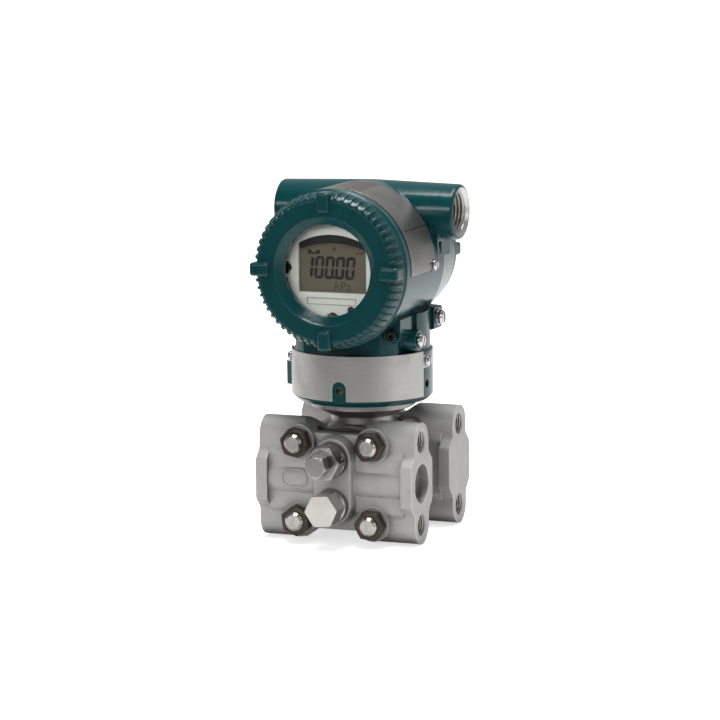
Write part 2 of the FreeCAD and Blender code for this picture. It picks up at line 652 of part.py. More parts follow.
def lock_lug(x, y_face, z, y_root, top):
    """Lug under the round body that takes the lock bolt of a cover."""
    low = min(y_face, y_root)
    length = abs(y_root - y_face)
    barrel = cylinder(LOCK_LUG_R, length, (x, low, z), Y_AXIS)
    return barrel.fuse(block((x - LOCK_LUG_R, low, z), (x + LOCK_LUG_R, low + length, top)))


def zero_boss():
    return cylinder(ZERO_BOSS_R, ZERO_X - 16, (16, ZERO_Y, ZERO_Z), X_AXIS)


def ground_boss():
    half = 5.8
    outline = [(20, GROUND_Z - half - 4), (20, GROUND_Z + half + 0.6), (GROUND_X, GROUND_Z + half - 0.4),
               (GROUND_X, GROUND_Z - half + 0.4)]
    boss = prism([(x, GROUND_Y - half, z) for x, z in outline], V(0, 2 * half, 0))
    edges = [edge for edge in boss.Edges if edge.BoundBox.XLength > 5]
    return boss.makeFillet(1.6, edges)


def entry_webs():
    """Short webs that tie the ends of the cross tube to the round body."""
    webs = []
    for sign in (-1, 1):
        face = sign * WEB_X
        low = min(face - sign * 11, face)
        web = block((low, WEB_Y, AXIS_Z + 1.6), (low + 11, CONDUIT_Y + 8, CONDUIT_Z - 8))
        dent = block((face - 1, WEB_Y + 1.6, AXIS_Z + 3.4), (face + 1, WEB_Y + 5.6, AXIS_Z + 9.4))
        webs.append(web.cut(dent))
    return webs


def housing_cavities():
    front = cylinder(FRONT_BORE_R, FRONT_FLOOR - BODY_FRONT, (0, BODY_FRONT, AXIS_Z), Y_AXIS)
    rear = cylinder(REAR_BORE_R, BODY_REAR - REAR_FLOOR, (0, REAR_FLOOR, AXIS_Z), Y_AXIS)
    entry = cylinder(CONDUIT_BORE_R - 1.6, 2 * CONDUIT_HALF, (-CONDUIT_HALF, CONDUIT_Y, CONDUIT_Z), X_AXIS)
    cuts = [front, rear, entry]
    for sign in (-1, 1):
        mouth = [(0, -1), (CONDUIT_MOUTH_R, -1), (CONDUIT_MOUTH_R, 0), (CONDUIT_BORE_R, CONDUIT_MOUTH),
                 (CONDUIT_BORE_R, CONDUIT_THREAD), (0, CONDUIT_THREAD)]
        centre = V(sign * CONDUIT_HALF, CONDUIT_Y, CONDUIT_Z)
        cuts.append(spun(mouth, centre, X_AXIS * -sign, Z_AXIS))
    cuts.append(cylinder(STEM_R + RUN_FIT, STEM_TOP + BODY_GAP - COLLAR_Z, (0, 0, COLLAR_Z), Z_AXIS))
    chamber_low = AXIS_Z - FRONT_BORE_R
    cuts.append(cylinder(CABLE_BORE_R, chamber_low + 3 - STEM_TOP, (0, CABLE_BORE_Y, STEM_TOP), Z_AXIS))
    return cuts


def set_screw_places():
    """Angle, outer radius and height of each set screw in the collar."""
    return [(BAND_NOTCH_ANGLE, COLLAR_R, BAND_NOTCH_Z - 1.2), (-3.8, COLLAR_R, BAND_NOTCH_Z - 0.6),
            (180.0, SIDE_BOSS_X, SIDE_BOSS_Z)]


def screw_bores():
    """Tapped bores in the casting for all the small screws."""
    bores = []
    for angle, radius, height in set_screw_places():
        outward = polar(1, angle, 0)
        start = polar(STEM_R, angle, height)
        bores.append(Part.makeCylinder(SET_SCREW_R + SEAT_GAP, radius + 1 - STEM_R, start, outward))
    for seat, axis in band_screw_places() + plate_screw_places():
        bores.append(Part.makeCylinder(1.3, 5, seat - axis * 5, axis))
    bores.append(cylinder(2.0 + SEAT_GAP, 10, (GROUND_X - 10, GROUND_Y, GROUND_Z), X_AXIS))
    bores.append(cylinder(ZERO_STEM_R + RUN_FIT, 12.0 + BODY_GAP, (ZERO_X - 12 - BODY_GAP, ZERO_Y, ZERO_Z), X_AXIS))
    depth = LOCK_SHANK + 1
    bores.append(cylinder(1.5, depth, (LOCK_X, BLOCK_FRONT, LOCK_Z), Y_AXIS))
    bores.append(cylinder(1.5, depth, (-REAR_LOCK_X, REAR_LOCK_Y, REAR_LOCK_Z), Y_AXIS * -1))
    return bores


def housing():
    added = [conduit_tube(), collar(), pedestal(), zero_boss(), ground_boss()] + entry_webs()
    added.append(lock_lug(LOCK_X, BLOCK_FRONT, LOCK_Z, PEDESTAL_FRONT, AXIS_Z - 25))
    added.append(lock_lug(-REAR_LOCK_X, REAR_LOCK_Y, REAR_LOCK_Z, 8, AXIS_Z - 20))
    casting = round_body().fuse(added)
    for tool in housing_cavities() + screw_bores():
        casting = casting.cut(tool)
    return casting


# ---- name band, name plate and small screws -------------------------------
def band_screw_places():
    height = 86.8
    axis = polar(1, -5.2, 0)
    other = polar(1, -162.5, 0)
    outer = COLLAR_R + SEAT_GAP + BAND_THICK
    return [(polar(outer, -5.2, height), axis), (polar(outer, -162.5, height), other)]


def plate_screw_places():
    outer = BODY_R + SEAT_GAP + PLATE_THICK
    places = []
    for angle in (-1.4, 181.4):
        turn = math.radians(angle)
        axis = V(math.cos(turn), 0, math.sin(turn))
        places.append((V(0, PLATE_REAR - 0.6, AXIS_Z) + axis * outer, axis))
    return places


def name_band():
    """Stainless strip round the collar, notched for the front set screw."""
    inner = COLLAR_R + SEAT_GAP
    sweep = BAND_END - BAND_START
    strip = Part.makeCylinder(inner + BAND_THICK, BAND_HIGH - BAND_LOW, V(0, 0, BAND_LOW), Z_AXIS, sweep)
    strip = around(strip, V(0, 0, 0), Z_AXIS, BAND_START)
    ear = Part.makeCylinder(inner + BAND_THICK, 6.4, V(0, 0, 83.6), Z_AXIS, BAND_END - BAND_START + 9.5)
    ear = around(ear, V(0, 0, 0), Z_AXIS, BAND_START)
    band = strip.fuse(ear).cut(cylinder(inner, 40, (0, 0, 60), Z_AXIS))
    outward = polar(1, BAND_NOTCH_ANGLE, 0)
    start = polar(COLLAR_R - 4, BAND_NOTCH_ANGLE, BAND_NOTCH_Z)
    arch = Part.makeCylinder(BAND_NOTCH_R, 8, start, outward)
    slot = block((COLLAR_R - 4, -BAND_NOTCH_R, 60), (COLLAR_R + 4, BAND_NOTCH_R, BAND_NOTCH_Z))
    slot = around(slot, V(0, 0, 0), Z_AXIS, BAND_NOTCH_ANGLE)
    holes = [Part.makeCylinder(1.5, 4, seat - axis * 2, axis) for seat, axis in band_screw_places()]
    return band.cut([arch, slot] + holes)


def name_plate():
    """Stainless plate bent over the top of the round body."""
    inner = BODY_R + SEAT_GAP
    width = PLATE_REAR - PLATE_FRONT
    full = ring(inner + PLATE_THICK, inner, width, (0, PLATE_FRONT, AXIS_Z), Y_AXIS)
    reach = 60
    drop = reach * math.tan(math.radians(PLATE_DROP))
    below = [(0, 0), (reach, -drop), (reach, -reach), (-reach, -reach), (-reach, -drop)]
    lower = prism([(x, PLATE_FRONT - 1, AXIS_Z + z) for x, z in below], V(0, width + 2, 0))
    ears = [Part.makeCylinder(3.4, 4, seat - axis * 3, axis) for seat, axis in plate_screw_places()]
    shell = ring(inner + PLATE_THICK, inner, width + 6, (0, PLATE_FRONT, AXIS_Z), Y_AXIS)
    plate = full.cut(lower).fuse([ear.common(shell) for ear in ears])
    holes = [Part.makeCylinder(1.5, 6, seat - axis * 3, axis) for seat, axis in plate_screw_places()]
    return plate.cut(holes)


def small_screws(places):
    shank = 4.6
    screws = []
    for seat, axis in places:
        across = V(0, 0, 1) if abs(axis.z) < 0.5 else Y_AXIS
        screws.append(pan_screw(seat, axis, SMALL_SCREW_R, SMALL_SCREW_HEAD, 1.25, shank, across))
    return Part.makeCompound(screws)


def neck_set_screws():
    """Socket set screws that hold the housing on the neck."""
    screws = []
    for angle, radius, height in set_screw_places():
        outward = polar(1, angle, 0)
        tip = polar(STEM_R + BODY_GAP, angle, height)
        length = radius - 1.6 - STEM_R - BODY_GAP
        screw = Part.makeCylinder(SET_SCREW_R, length, tip, outward)
        socket = hexagon(1.9, 2.0, tuple(polar(radius - 3.2, angle, height)), outward)
        screws.append(screw.cut(socket))
    return Part.makeCompound(screws)


def cover_lock_bolts():
    """Socket head bolts beside the rims of the two covers."""
    bolts = []
    for seat, axis in ((V(LOCK_X, BLOCK_FRONT, LOCK_Z), Y_AXIS * -1),
                       (V(-REAR_LOCK_X, REAR_LOCK_Y, REAR_LOCK_Z), Y_AXIS)):
        head = cylinder(LOCK_R, LOCK_HEAD, tuple(seat), axis)
        shank = cylinder(1.5 - SEAT_GAP, LOCK_SHANK, tuple(seat), axis * -1)
        socket = hexagon(2.5, 2.0, tuple(seat + axis * (LOCK_HEAD - 1.8)), axis)
        bolts.append(head.cut(socket).fuse(shank))
    return Part.makeCompound(bolts)


def ground_washers():
    flat = ring(GROUND_WASHER_R, 2.05, GROUND_WASHER, (GROUND_X, GROUND_Y, GROUND_Z), X_AXIS)
    spring = ring(GROUND_WASHER_R - 0.5, 2.05, GROUND_WASHER, (GROUND_X + GROUND_WASHER, GROUND_Y, GROUND_Z), X_AXIS)
    return Part.makeCompound([flat, spring])


def ground_screw():
    seat = V(GROUND_X + 2 * GROUND_WASHER, GROUND_Y, GROUND_Z)
    return pan_screw(seat, X_AXIS, GROUND_SCREW_R, 2.2, 2.0, 9.5, Z_AXIS)


def zero_screw():
    """Slotted screw that adjusts the zero point."""
    seat = V(ZERO_X + BODY_GAP, ZERO_Y, ZERO_Z)
    return pan_screw(seat, X_AXIS, ZERO_HEAD_R, 2.3, ZERO_STEM_R, 12.0, V(0, 0.4, 0.917))


# ---- screwed covers -------------------------------------------------------
def lug(inner, outer, low, high, width, angle):
    """Wrench lug on a cover's face, rounded at every corner that stands free."""
    bar = block((inner, -high, -width / 2), (outer, -low, width / 2))
    edges = [edge for edge in bar.Edges if abs(edge.BoundBox.YMin + high) < 1e-6]
    bar = bar.makeFillet(LUG_ROUND, edges)
    bar.translate(HOUSING_AXIS)
    return around(bar, HOUSING_AXIS, Y_AXIS, angle)


def ribs(profile, rim_y):
    """Grip ribs round a cover's shoulder, cut from a slightly larger turning."""
    shell = spun(profile, V(0, rim_y, AXIS_Z), Y_AXIS * -1, Z_AXIS)
    reach = max(radius for radius, along in profile) + 1
    low = min(along for radius, along in profile)
    high = max(along for radius, along in profile)
    blades = []
    for index in range(RIB_COUNT):
        blade = block((reach - 9, rim_y - high - 1, AXIS_Z - RIB_WIDTH / 2), (reach, rim_y - low, AXIS_Z + RIB_WIDTH / 2))
        blades.append(around(blade, HOUSING_AXIS, Y_AXIS, (index + 0.5) * 360 / RIB_COUNT))
    return shell.common(Part.makeCompound(blades))


def shoulder_profile(rim, face):
    """Outer form of a cover from its rim to its flat face."""
    return [(rim, 0), (rim, COVER_RIM_FRONT - 0.6), (rim - 0.7, COVER_RIM_FRONT), (rim - 1.4, face - 6.0),
            (rim - 2.4, face - 2.6), (rim - 3.5, face - 0.8), (rim - COVER_EDGE, face)]


def rib_profile(rim, face):
    """Band that the ribs fill: the shoulder's form, a little larger."""
    outer = [(rim - 0.9, COVER_RIM_FRONT + 0.4), (rim - 1.4 + RIB_PROUD, face - 5.8),
             (rim - 2.2 + RIB_PROUD, face - 2.2), (rim - 3.3 + RIB_PROUD * 0.7, face - 0.2), (rim - 4.3, face + 0.4),
             (rim - COVER_EDGE - 0.2, face - 0.1)]
    return outer + [(rim - 6, face - 2), (rim - 3, COVER_RIM_FRONT)]


def with_grip(cover, rim, face, rim_y):
    lugs = [lug(rim - LUG_INNER, rim - LUG_OUTER, face - 6, face + LUG_PROUD, LUG_WIDTH, 90 * index)
            for index in range(4)]
    for piece in lugs:
        piece.translate(V(0, rim_y, 0))
    return cover.fuse(lugs + [ribs(rib_profile(rim, face), rim_y)])


def seal_groove(bore_r):
    """Groove behind a cover's rim for its seal, as (radius, along) pairs."""
    outer = bore_r - THREAD_FIT
    inner = outer - 2 * COVER_SEAL_R
    return [(outer + 1, -0.8), (inner, -0.8), (inner, -0.8 - 2 * COVER_SEAL_R - 0.1),
            (outer + 1, -0.8 - 2 * COVER_SEAL_R - 0.1)]


def display_cover():
    """Cast cover with a round window, screwed into the front of the housing."""
    thread = FRONT_BORE_R - THREAD_FIT
    inner = thread - SKIRT_WALL
    glass_back = COVER_FACE - WINDOW_BEVEL - 2.0
    profile = shoulder_profile(COVER_RIM_R, COVER_FACE)
    profile += [(WINDOW_BEVEL_R + 0.6, COVER_FACE), (WINDOW_BEVEL_R, COVER_FACE - 0.6),
                (WINDOW_R, COVER_FACE - WINDOW_BEVEL), (WINDOW_R, glass_back),
                (GLASS_R + SEAT_GAP, glass_back), (GLASS_R + SEAT_GAP, glass_back - GLASS_THICK),
                (GLASS_R + RETAINER_WIDTH * 0.3, glass_back - GLASS_THICK),
                (GLASS_R + RETAINER_WIDTH * 0.3, glass_back - GLASS_THICK - RETAINER_DEPTH),
                (inner, glass_back - GLASS_THICK - RETAINER_DEPTH), (inner, -SKIRT_LENGTH),
                (thread, -SKIRT_LENGTH), (thread, 0)]
    centre = V(0, COVER_RIM_Y, AXIS_Z)
    cover = spun(profile, centre, Y_AXIS * -1, Z_AXIS)
    cover = cover.cut(spun(seal_groove(FRONT_BORE_R), centre, Y_AXIS * -1, Z_AXIS))
    return with_grip(cover, COVER_RIM_R, COVER_FACE, COVER_RIM_Y)


def window_glass():
    back = COVER_RIM_Y - (COVER_FACE - WINDOW_BEVEL - 2.0) + GLASS_THICK
    edge = 0.5
    profile = [(0, 0), (GLASS_R - edge, 0), (GLASS_R, edge), (GLASS_R, GLASS_THICK - edge),
               (GLASS_R - edge, GLASS_THICK), (0, GLASS_THICK)]
    return spun(profile, V(0, back, AXIS_Z), Y_AXIS * -1, Z_AXIS)


def glass_retainer():
    """Threaded ring that holds the window from inside."""
    back = COVER_RIM_Y - (COVER_FACE - WINDOW_BEVEL - 2.0) + GLASS_THICK
    outer = GLASS_R + RETAINER_WIDTH * 0.3 - SEAT_GAP
    ring_body = ring(outer, outer - RETAINER_WIDTH, RETAINER_DEPTH, (0, back, AXIS_Z), Y_AXIS)
    slots = [around(block((outer - 4, back + RETAINER_DEPTH - 1, AXIS_Z - 1),
                          (outer + 2, back + RETAINER_DEPTH + 1, AXIS_Z + 1)), HOUSING_AXIS, Y_AXIS, angle)
             for angle in (0, 180)]
    return ring_body.cut(slots)


def cover_seal(bore_r, rim_y, outward):
    """O-ring in the groove behind a cover's rim."""
    centre_r = bore_r - THREAD_FIT - COVER_SEAL_R
    along = -0.8 - COVER_SEAL_R - 0.05
    centre = V(0, rim_y, AXIS_Z) + outward * along
    return Part.makeTorus(centre_r, COVER_SEAL_R - 0.04, centre, Y_AXIS)


def terminal_cover():
    """Blind cover screwed into the rear of the housing."""
    thread = REAR_BORE_R - THREAD_FIT
    inner = thread - SKIRT_WALL
    deep = REAR_FACE - 3.4
    profile = shoulder_profile(REAR_RIM_R, REAR_FACE)
    profile += [(21.0, REAR_FACE), (19.5, REAR_FACE - 0.8), (0, REAR_FACE - 0.8), (0, deep), (inner - 2, deep),
                (inner, deep - 2), (inner, -SKIRT_LENGTH), (thread, -SKIRT_LENGTH), (thread, 0)]
    centre = V(0, COVER_RIM_Y, AXIS_Z)
    cover = spun(profile, centre, Y_AXIS * -1, Z_AXIS)
    cover = cover.cut(spun(seal_groove(REAR_BORE_R), centre, Y_AXIS * -1, Z_AXIS))
    cover = with_grip(cover, REAR_RIM_R, REAR_FACE, COVER_RIM_Y)
    cover = both_ends(cover)
    cover.translate(V(0, REAR_RIM_Y + COVER_RIM_Y, 0))
    return cover


# ---- display unit ---------------------------------------------------------
def display_screw_angles():
    return [180, 270, 0]


def arched_plate(half, low, shoulder, crown, y_low, y_high):
    """Plate whose top edge is an arch."""
    corners = [V(-half, y_low, shoulder), V(-half, y_low, low), V(half, y_low, low), V(half, y_low, shoulder)]
    edges = [Part.makeLine(corners[index], corners[index + 1]) for index in range(3)]
    edges.append(Part.Arc(corners[3], V(0, y_low, crown), corners[0]).toShape())
    return Part.Face(Part.Wire(edges)).extrude(V(0, y_high - y_low, 0))


def display_screw_centre(angle, radius):
    turn = math.radians(angle)
    return V(radius * math.cos(turn), BEZEL_FACE, AXIS_Z + radius * math.sin(turn))


def display_bezel():
    """Moulded front of the display unit, with a framed opening."""
    centre = (0, BEZEL_FACE, AXIS_Z)
    shell = cylinder(BEZEL_R, BEZEL_DEPTH, centre, Y_AXIS)
    rim = [edge for edge in shell.Edges if abs(edge.BoundBox.YMax - BEZEL_FACE) < 1e-6]
    shell = shell.makeFillet(0.8, rim)
    hollow = cylinder(BEZEL_R - BEZEL_WALL, BEZEL_DEPTH, (0, BEZEL_FACE + BEZEL_WALL, AXIS_Z), Y_AXIS)
    window = arched_plate(LCD_HALF, LCD_LOW, LCD_SHOULDER, LCD_CROWN, BEZEL_FACE - 1, BEZEL_FACE + 3)
    cuts = [window]
    for angle in display_screw_angles():
        place = display_screw_centre(angle, BEZEL_R)
        cuts.append(cylinder(SCREW_NOTCH_R, BEZEL_DEPTH - 1.2, tuple(place), Y_AXIS))
        cuts.append(cylinder(1.6, BEZEL_DEPTH, tuple(display_screw_centre(angle, BEZEL_R - 1.4)), Y_AXIS))
    pads = [cylinder(SCREW_NOTCH_R + 1.4, BEZEL_DEPTH, tuple(display_screw_centre(angle, BEZEL_R)), Y_AXIS)
            for angle in display_screw_angles()]
    button_tube = cylinder(BUTTON_R + 1.4, BEZEL_DEPTH, (BUTTON_X, BEZEL_FACE, BUTTON_Z), Y_AXIS)
    solid = cylinder(BEZEL_R, BEZEL_DEPTH, centre, Y_AXIS)
    shell = shell.cut(hollow).fuse([pad.common(solid) for pad in pads] + [button_tube.common(solid)])
    cuts.append(cylinder(BUTTON_R + RUN_FIT, BEZEL_DEPTH, (BUTTON_X, BEZEL_FACE, BUTTON_Z), Y_AXIS))
    frame_low = AXIS_Z - 17.2
    cuts.append(block((-13.0, BEZEL_FACE, frame_low), (12.0, BEZEL_FACE + 0.4, frame_low + 2.8)))
    return shell.cut(cuts)


def display_glass():
    """Liquid crystal cell behind the bezel's opening."""
    front = BEZEL_FACE + BEZEL_WALL
    return arched_plate(LCD_HALF + 0.9, LCD_LOW - 0.9, LCD_SHOULDER, LCD_CROWN + 0.9, front, front + LCD_THICK)


def display_board():
    face = BEZEL_FACE + BEZEL_DEPTH
    board = cylinder(BEZEL_R, LCD_BOARD, (0, face, AXIS_Z), Y_AXIS)
    rest = block((-12, front_of_board_parts(), AXIS_Z - 9), (12, face, AXIS_Z + 12))
    holes = [cylinder(1.6, LCD_BOARD, (p.x, face, p.z), Y_AXIS)
             for p in [display_screw_centre(angle, BEZEL_R - 1.4) for angle in display_screw_angles()]]
    plug = block((-7, face + LCD_BOARD, AXIS_Z - 4), (7, amp_board_face(), AXIS_Z + 1))
    return board.fuse([rest, plug]).cut(holes)


def front_of_board_parts():
    return BEZEL_FACE + BEZEL_WALL + LCD_THICK


def amp_board_face():
    return BEZEL_FACE + BEZEL_DEPTH + LCD_BOARD + 3.0


def display_screws():
    """Screws that hold the display unit on pillars of the amplifier case."""
    seat_y = BEZEL_FACE + BEZEL_DEPTH - 1.2
    screws = []
    for angle in display_screw_angles():
        place = display_screw_centre(angle, BEZEL_R - 1.4)
        seat = V(place.x, seat_y, place.z)
        screws.append(pan_screw(seat, Y_AXIS * -1, 1.7, 1.4, 1.35, 6.2, X_AXIS))
    return Part.makeCompound(screws)


def range_button():
    """Push button for setting the measuring range, with a collar behind."""
    length = BEZEL_DEPTH - BUTTON_SUNK - 0.8
    return cylinder(BUTTON_R, length, (BUTTON_X, BEZEL_FACE + BUTTON_SUNK, BUTTON_Z), Y_AXIS)


# ---- amplifier and terminals ----------------------------------------------
def amplifier_case():
    """Moulded cup that holds the amplifier boards, with screw pillars."""
    back = FRONT_FLOOR
    face = back - AMP_CASE_DEPTH
    cup = cylinder(AMP_CASE_R, AMP_CASE_DEPTH, (0, face, AXIS_Z), Y_AXIS)
    room = cylinder(AMP_CASE_R - AMP_WALL, AMP_CASE_DEPTH - AMP_WALL, (0, face, AXIS_Z), Y_AXIS)
    pillars = []
    holes = []
    for angle in display_screw_angles():
        place = display_screw_centre(angle, BEZEL_R - 1.4)
        front = BEZEL_FACE + BEZEL_DEPTH + LCD_BOARD
        pillars.append(cylinder(2.6, back - AMP_WALL - front, (place.x, front, place.z), Y_AXIS))
        holes.append(cylinder(1.35 + SEAT_GAP, 6, (place.x, front, place.z), Y_AXIS))
    low = AXIS_Z - AMP_CASE_R
    cable = cylinder(CABLE_BORE_R - 1.5, AMP_WALL + 3, (0, CABLE_BORE_Y, low - 1), Z_AXIS)
    return cup.cut(room).fuse(pillars).cut(holes + [cable])


def amplifier_board():
    """Round processor board in the mouth of the amplifier case."""
    face = amp_board_face()
    board = cylinder(AMP_BOARD_R, BOARD_THICK, (0, face, AXIS_Z), Y_AXIS)
    holes = []
    for angle in display_screw_angles():
        place = display_screw_centre(angle, BEZEL_R - 1.4)
        holes.append(cylinder(2.6 + SEAT_GAP, BOARD_THICK, (place.x, face, place.z), Y_AXIS))
    chips = [block((x, face + BOARD_THICK, AXIS_Z + z), (x + w, face + BOARD_THICK + h, AXIS_Z + z + d))
             for x, z, w, d, h in [(-12, -6, 10, 10, 1.8), (3, -4, 12, 9, 2.6), (-8, 8, 14, 7, 4.0),
                                   (-6, -18, 12, 5, 5.0)]]
    return board.cut(holes).fuse(chips)


def terminal_angles():
    return [200 + 35 * index for index in range(TERMINAL_COUNT)]


def terminal_block():
    """Moulded block with barriers between the wiring screws."""
    base_y = REAR_FLOOR
    body = cylinder(TERMINAL_R, TERMINAL_FACE - TERMINAL_DEPTH - base_y + 4, (0, base_y, AXIS_Z), Y_AXIS)
    tower = cylinder(TERMINAL_R - 3, TERMINAL_FACE - base_y, (0, base_y, AXIS_Z), Y_AXIS)
    body = body.fuse(tower)
    cuts = [cylinder(CONDUIT_BORE_R + 6, 90, (-45, CONDUIT_Y + 3, CONDUIT_Z + 1), X_AXIS)]
    for angle in terminal_angles():
        turn = math.radians(angle)
        centre = V(16 * math.cos(turn), TERMINAL_FACE, AXIS_Z + 16 * math.sin(turn))
        cuts.append(cylinder(4.2, 5, tuple(centre), Y_AXIS * -1))
        cuts.append(cylinder(1.6 + SEAT_GAP, 12, tuple(centre), Y_AXIS * -1))
    return body.cut(cuts)


def terminal_screws():
    screws = []
    for angle in terminal_angles():
        turn = math.radians(angle)
        seat = V(16 * math.cos(turn), TERMINAL_FACE - 5, AXIS_Z + 16 * math.sin(turn))
        plate = block((seat.x - 2.9, seat.y, seat.z - 2.9), (seat.x + 2.9, seat.y + 0.8, seat.z + 2.9))
        plate = plate.cut(cylinder(1.6, 0.8, tuple(seat), Y_AXIS))
        screw = pan_screw(seat + Y_AXIS * 0.8, Y_AXIS, 3.0, 2.2, 1.6, 7, X_AXIS)
        screws += [plate, screw]
    return Part.makeCompound(screws)


# ---- write every piece ----------------------------------------------------
def pieces():
    front = cover_flange()
    vent = vent_plug()
    drain = drain_plug()
    return {
        "front_cover_flange": front,
        "rear_cover_flange": both_ends(front),
        "capsule_body": capsule_body(),
        "front_capsule_gasket": capsule_gasket(-1),
        "rear_capsule_gasket": capsule_gasket(1),
        "front_diaphragm": diaphragm(-1),
        "rear_diaphragm": diaphragm(1),
        "neck_oring": neck_oring(),
        "sensor_header": sensor_header(),
        "sensor_board": sensor_board(),
        "flange_bolts": flange_bolts(),
        "flange_nuts": flange_nuts(),
        "front_vent_plug": vent,
        "front_drain_plug": drain,
        "rear_vent_plug": both_ends(vent),
        "rear_drain_plug": both_ends(drain),
        "front_vent_screw": vent_screw(),
        "rear_vent_screw": both_ends(vent_screw()),
        "housing": housing(),
        "name_band": name_band(),
        "name_band_screws": small_screws(band_screw_places()),
        "name_plate": name_plate(),
        "name_plate_screws": small_screws(plate_screw_places()),
        "neck_set_screws": neck_set_screws(),
        "cover_lock_bolts": cover_lock_bolts(),
        "ground_washers": ground_washers(),
        "ground_screw": ground_screw(),
        "zero_screw": zero_screw(),
        "display_cover": display_cover(),
        "window_glass": window_glass(),
        "glass_retainer": glass_retainer(),
        "display_cover_seal": cover_seal(FRONT_BORE_R, COVER_RIM_Y, Y_AXIS * -1),
        "terminal_cover": terminal_cover(),
        "terminal_cover_seal": cover_seal(REAR_BORE_R, REAR_RIM_Y, Y_AXIS),
        "display_bezel": display_bezel(),
        "display_glass": display_glass(),
        "display_board": display_board(),
        "display_screws": display_screws(),
        "range_button": range_button(),
        "amplifier_case": amplifier_case(),
        "amplifier_board": amplifier_board(),
        "terminal_block": terminal_block(),
        "terminal_screws": terminal_screws(),
    }


os.makedirs("parts", exist_ok=True)
for node, shape in pieces().items():
    shape.exportStep("parts/" + node + ".step")
    print(node, "valid" if shape.isValid() else "NOT VALID", len(shape.Solids), "solid(s)",
          round(shape.Volume / 1000, 2), "cm3")
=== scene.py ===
import math

import bpy
from mathutils import Matrix, Vector


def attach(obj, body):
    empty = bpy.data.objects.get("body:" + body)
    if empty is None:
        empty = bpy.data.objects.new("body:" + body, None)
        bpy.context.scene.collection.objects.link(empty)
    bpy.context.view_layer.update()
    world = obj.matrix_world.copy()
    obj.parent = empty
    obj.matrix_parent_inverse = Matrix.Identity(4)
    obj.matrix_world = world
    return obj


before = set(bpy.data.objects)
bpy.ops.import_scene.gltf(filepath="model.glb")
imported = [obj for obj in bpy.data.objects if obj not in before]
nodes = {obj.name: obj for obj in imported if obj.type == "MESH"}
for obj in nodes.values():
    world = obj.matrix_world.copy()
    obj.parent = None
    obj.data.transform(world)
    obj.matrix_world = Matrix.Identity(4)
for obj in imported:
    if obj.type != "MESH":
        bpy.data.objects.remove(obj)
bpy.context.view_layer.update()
bpy.ops.object.select_all(action="DESELECT")

# ---- View -----------------------------------------------------------------
# The transmitter stands as it is hung on its bracket, seen through a long
# lens from the display side, a little from the right and from above.
AIM = Vector((0.0, 0.0, 0.090))
DISTANCE = 1.650
AZIMUTH = math.radians(21.583)
ELEVATION = math.radians(8.985)
ROLL = math.radians(-0.564)
LENS = 166.3
SHIFT_X = -0.0040
SHIFT_Y = -0.01435

back = Vector((math.sin(AZIMUTH) * math.cos(ELEVATION),
               -math.cos(AZIMUTH) * math.cos(ELEVATION),
               math.sin(ELEVATION)))
level = Vector((math.cos(AZIMUTH), math.sin(AZIMUTH), 0.0))
up = back.cross(level)
across = math.cos(ROLL) * level + math.sin(ROLL) * up
above = math.cos(ROLL) * up - math.sin(ROLL) * level
camera_data = bpy.data.cameras.new("view")
camera_data.sensor_width = 36.0
camera_data.lens = LENS
camera_data.shift_x = SHIFT_X
camera_data.shift_y = SHIFT_Y
camera_data.clip_end = 60.0
camera = bpy.data.objects.new("view", camera_data)
camera.matrix_world = Matrix((across, above, back)).transposed().to_4x4()
camera.location = AIM + back * DISTANCE
bpy.context.scene.collection.objects.link(camera)
bpy.context.scene.camera = camera


# ---- Room -----------------------------------------------------------------
# A plain pale floor and sky under three soft lamps. The lamps are panels, so
# that gloss paint and turned steel carry long soft highlights.
def fill(tree, node, sockets):
    """Give each socket its value, or connect it where the value is another socket."""
    for key, value in sockets.items():
        if isinstance(value, bpy.types.NodeSocket):
            tree.links.new(value, node.inputs[key])
        else:
            node.inputs[key].default_value = value


def shader_node(tree, kind, sockets=None, **settings):
    """Add a node, set its settings and fill its sockets."""
    node = tree.nodes.new(kind)
    for key, value in settings.items():
        setattr(node, key, value)
    fill(tree, node, sockets or {})
    return node


def new_finish(name):
    """A material with one Principled shader. Returns material, tree, shader."""
    material = bpy.data.materials.new(name)
    material.use_nodes = True
    tree = material.node_tree
    return material, tree, tree.nodes["Principled BSDF"]


def calc(tree, operation, *values):
    """One operation on one, two or three numbers."""
    return shader_node(tree, "ShaderNodeMath", dict(enumerate(values)), operation=operation).outputs[0]


def vector_calc(tree, operation, *vectors):
    """One operation on one or two vectors. Gives a number for a length or a dot product."""
    node = shader_node(tree, "ShaderNodeVectorMath", dict(enumerate(vectors)), operation=operation)
    return node.outputs["Value" if operation in ("LENGTH", "DOT_PRODUCT") else "Vector"]


def parts_of(tree, vector):
    """The X, Y and Z of a vector."""
    return shader_node(tree, "ShaderNodeSeparateXYZ", {"Vector": vector}).outputs


def piece_place(tree):
    """A point's place on its piece, in metres."""
    return shader_node(tree, "ShaderNodeTexCoord").outputs["Object"]


def noise(tree, place, scale, detail=2.0):
    """A cloudy number about a half. A larger scale makes finer clouds."""
    sockets = {"Vector": place, "Scale": scale, "Detail": detail}
    return shader_node(tree, "ShaderNodeTexNoise", sockets).outputs["Fac"]


def ramp(tree, value, start, end, low=0.0, high=1.0):
    """A number that goes smoothly from low to high while value goes from start to end."""
    sockets = {"Value": value, "From Min": start, "From Max": end, "To Min": low, "To Max": high}
    return shader_node(tree, "ShaderNodeMapRange", sockets, interpolation_type="SMOOTHSTEP").outputs[0]


# The places of the two colours and of the result on a colour Mix node.
MIX_FIRST = 6
MIX_SECOND = 7
MIX_RESULT = 2


def blend_of(tree, share, first, second):
    """A colour that goes from first to second while share goes from 0 to 1."""
    sockets = {"Factor": share, MIX_FIRST: first, MIX_SECOND: second}
    return shader_node(tree, "ShaderNodeMix", sockets, data_type="RGBA").outputs[MIX_RESULT]


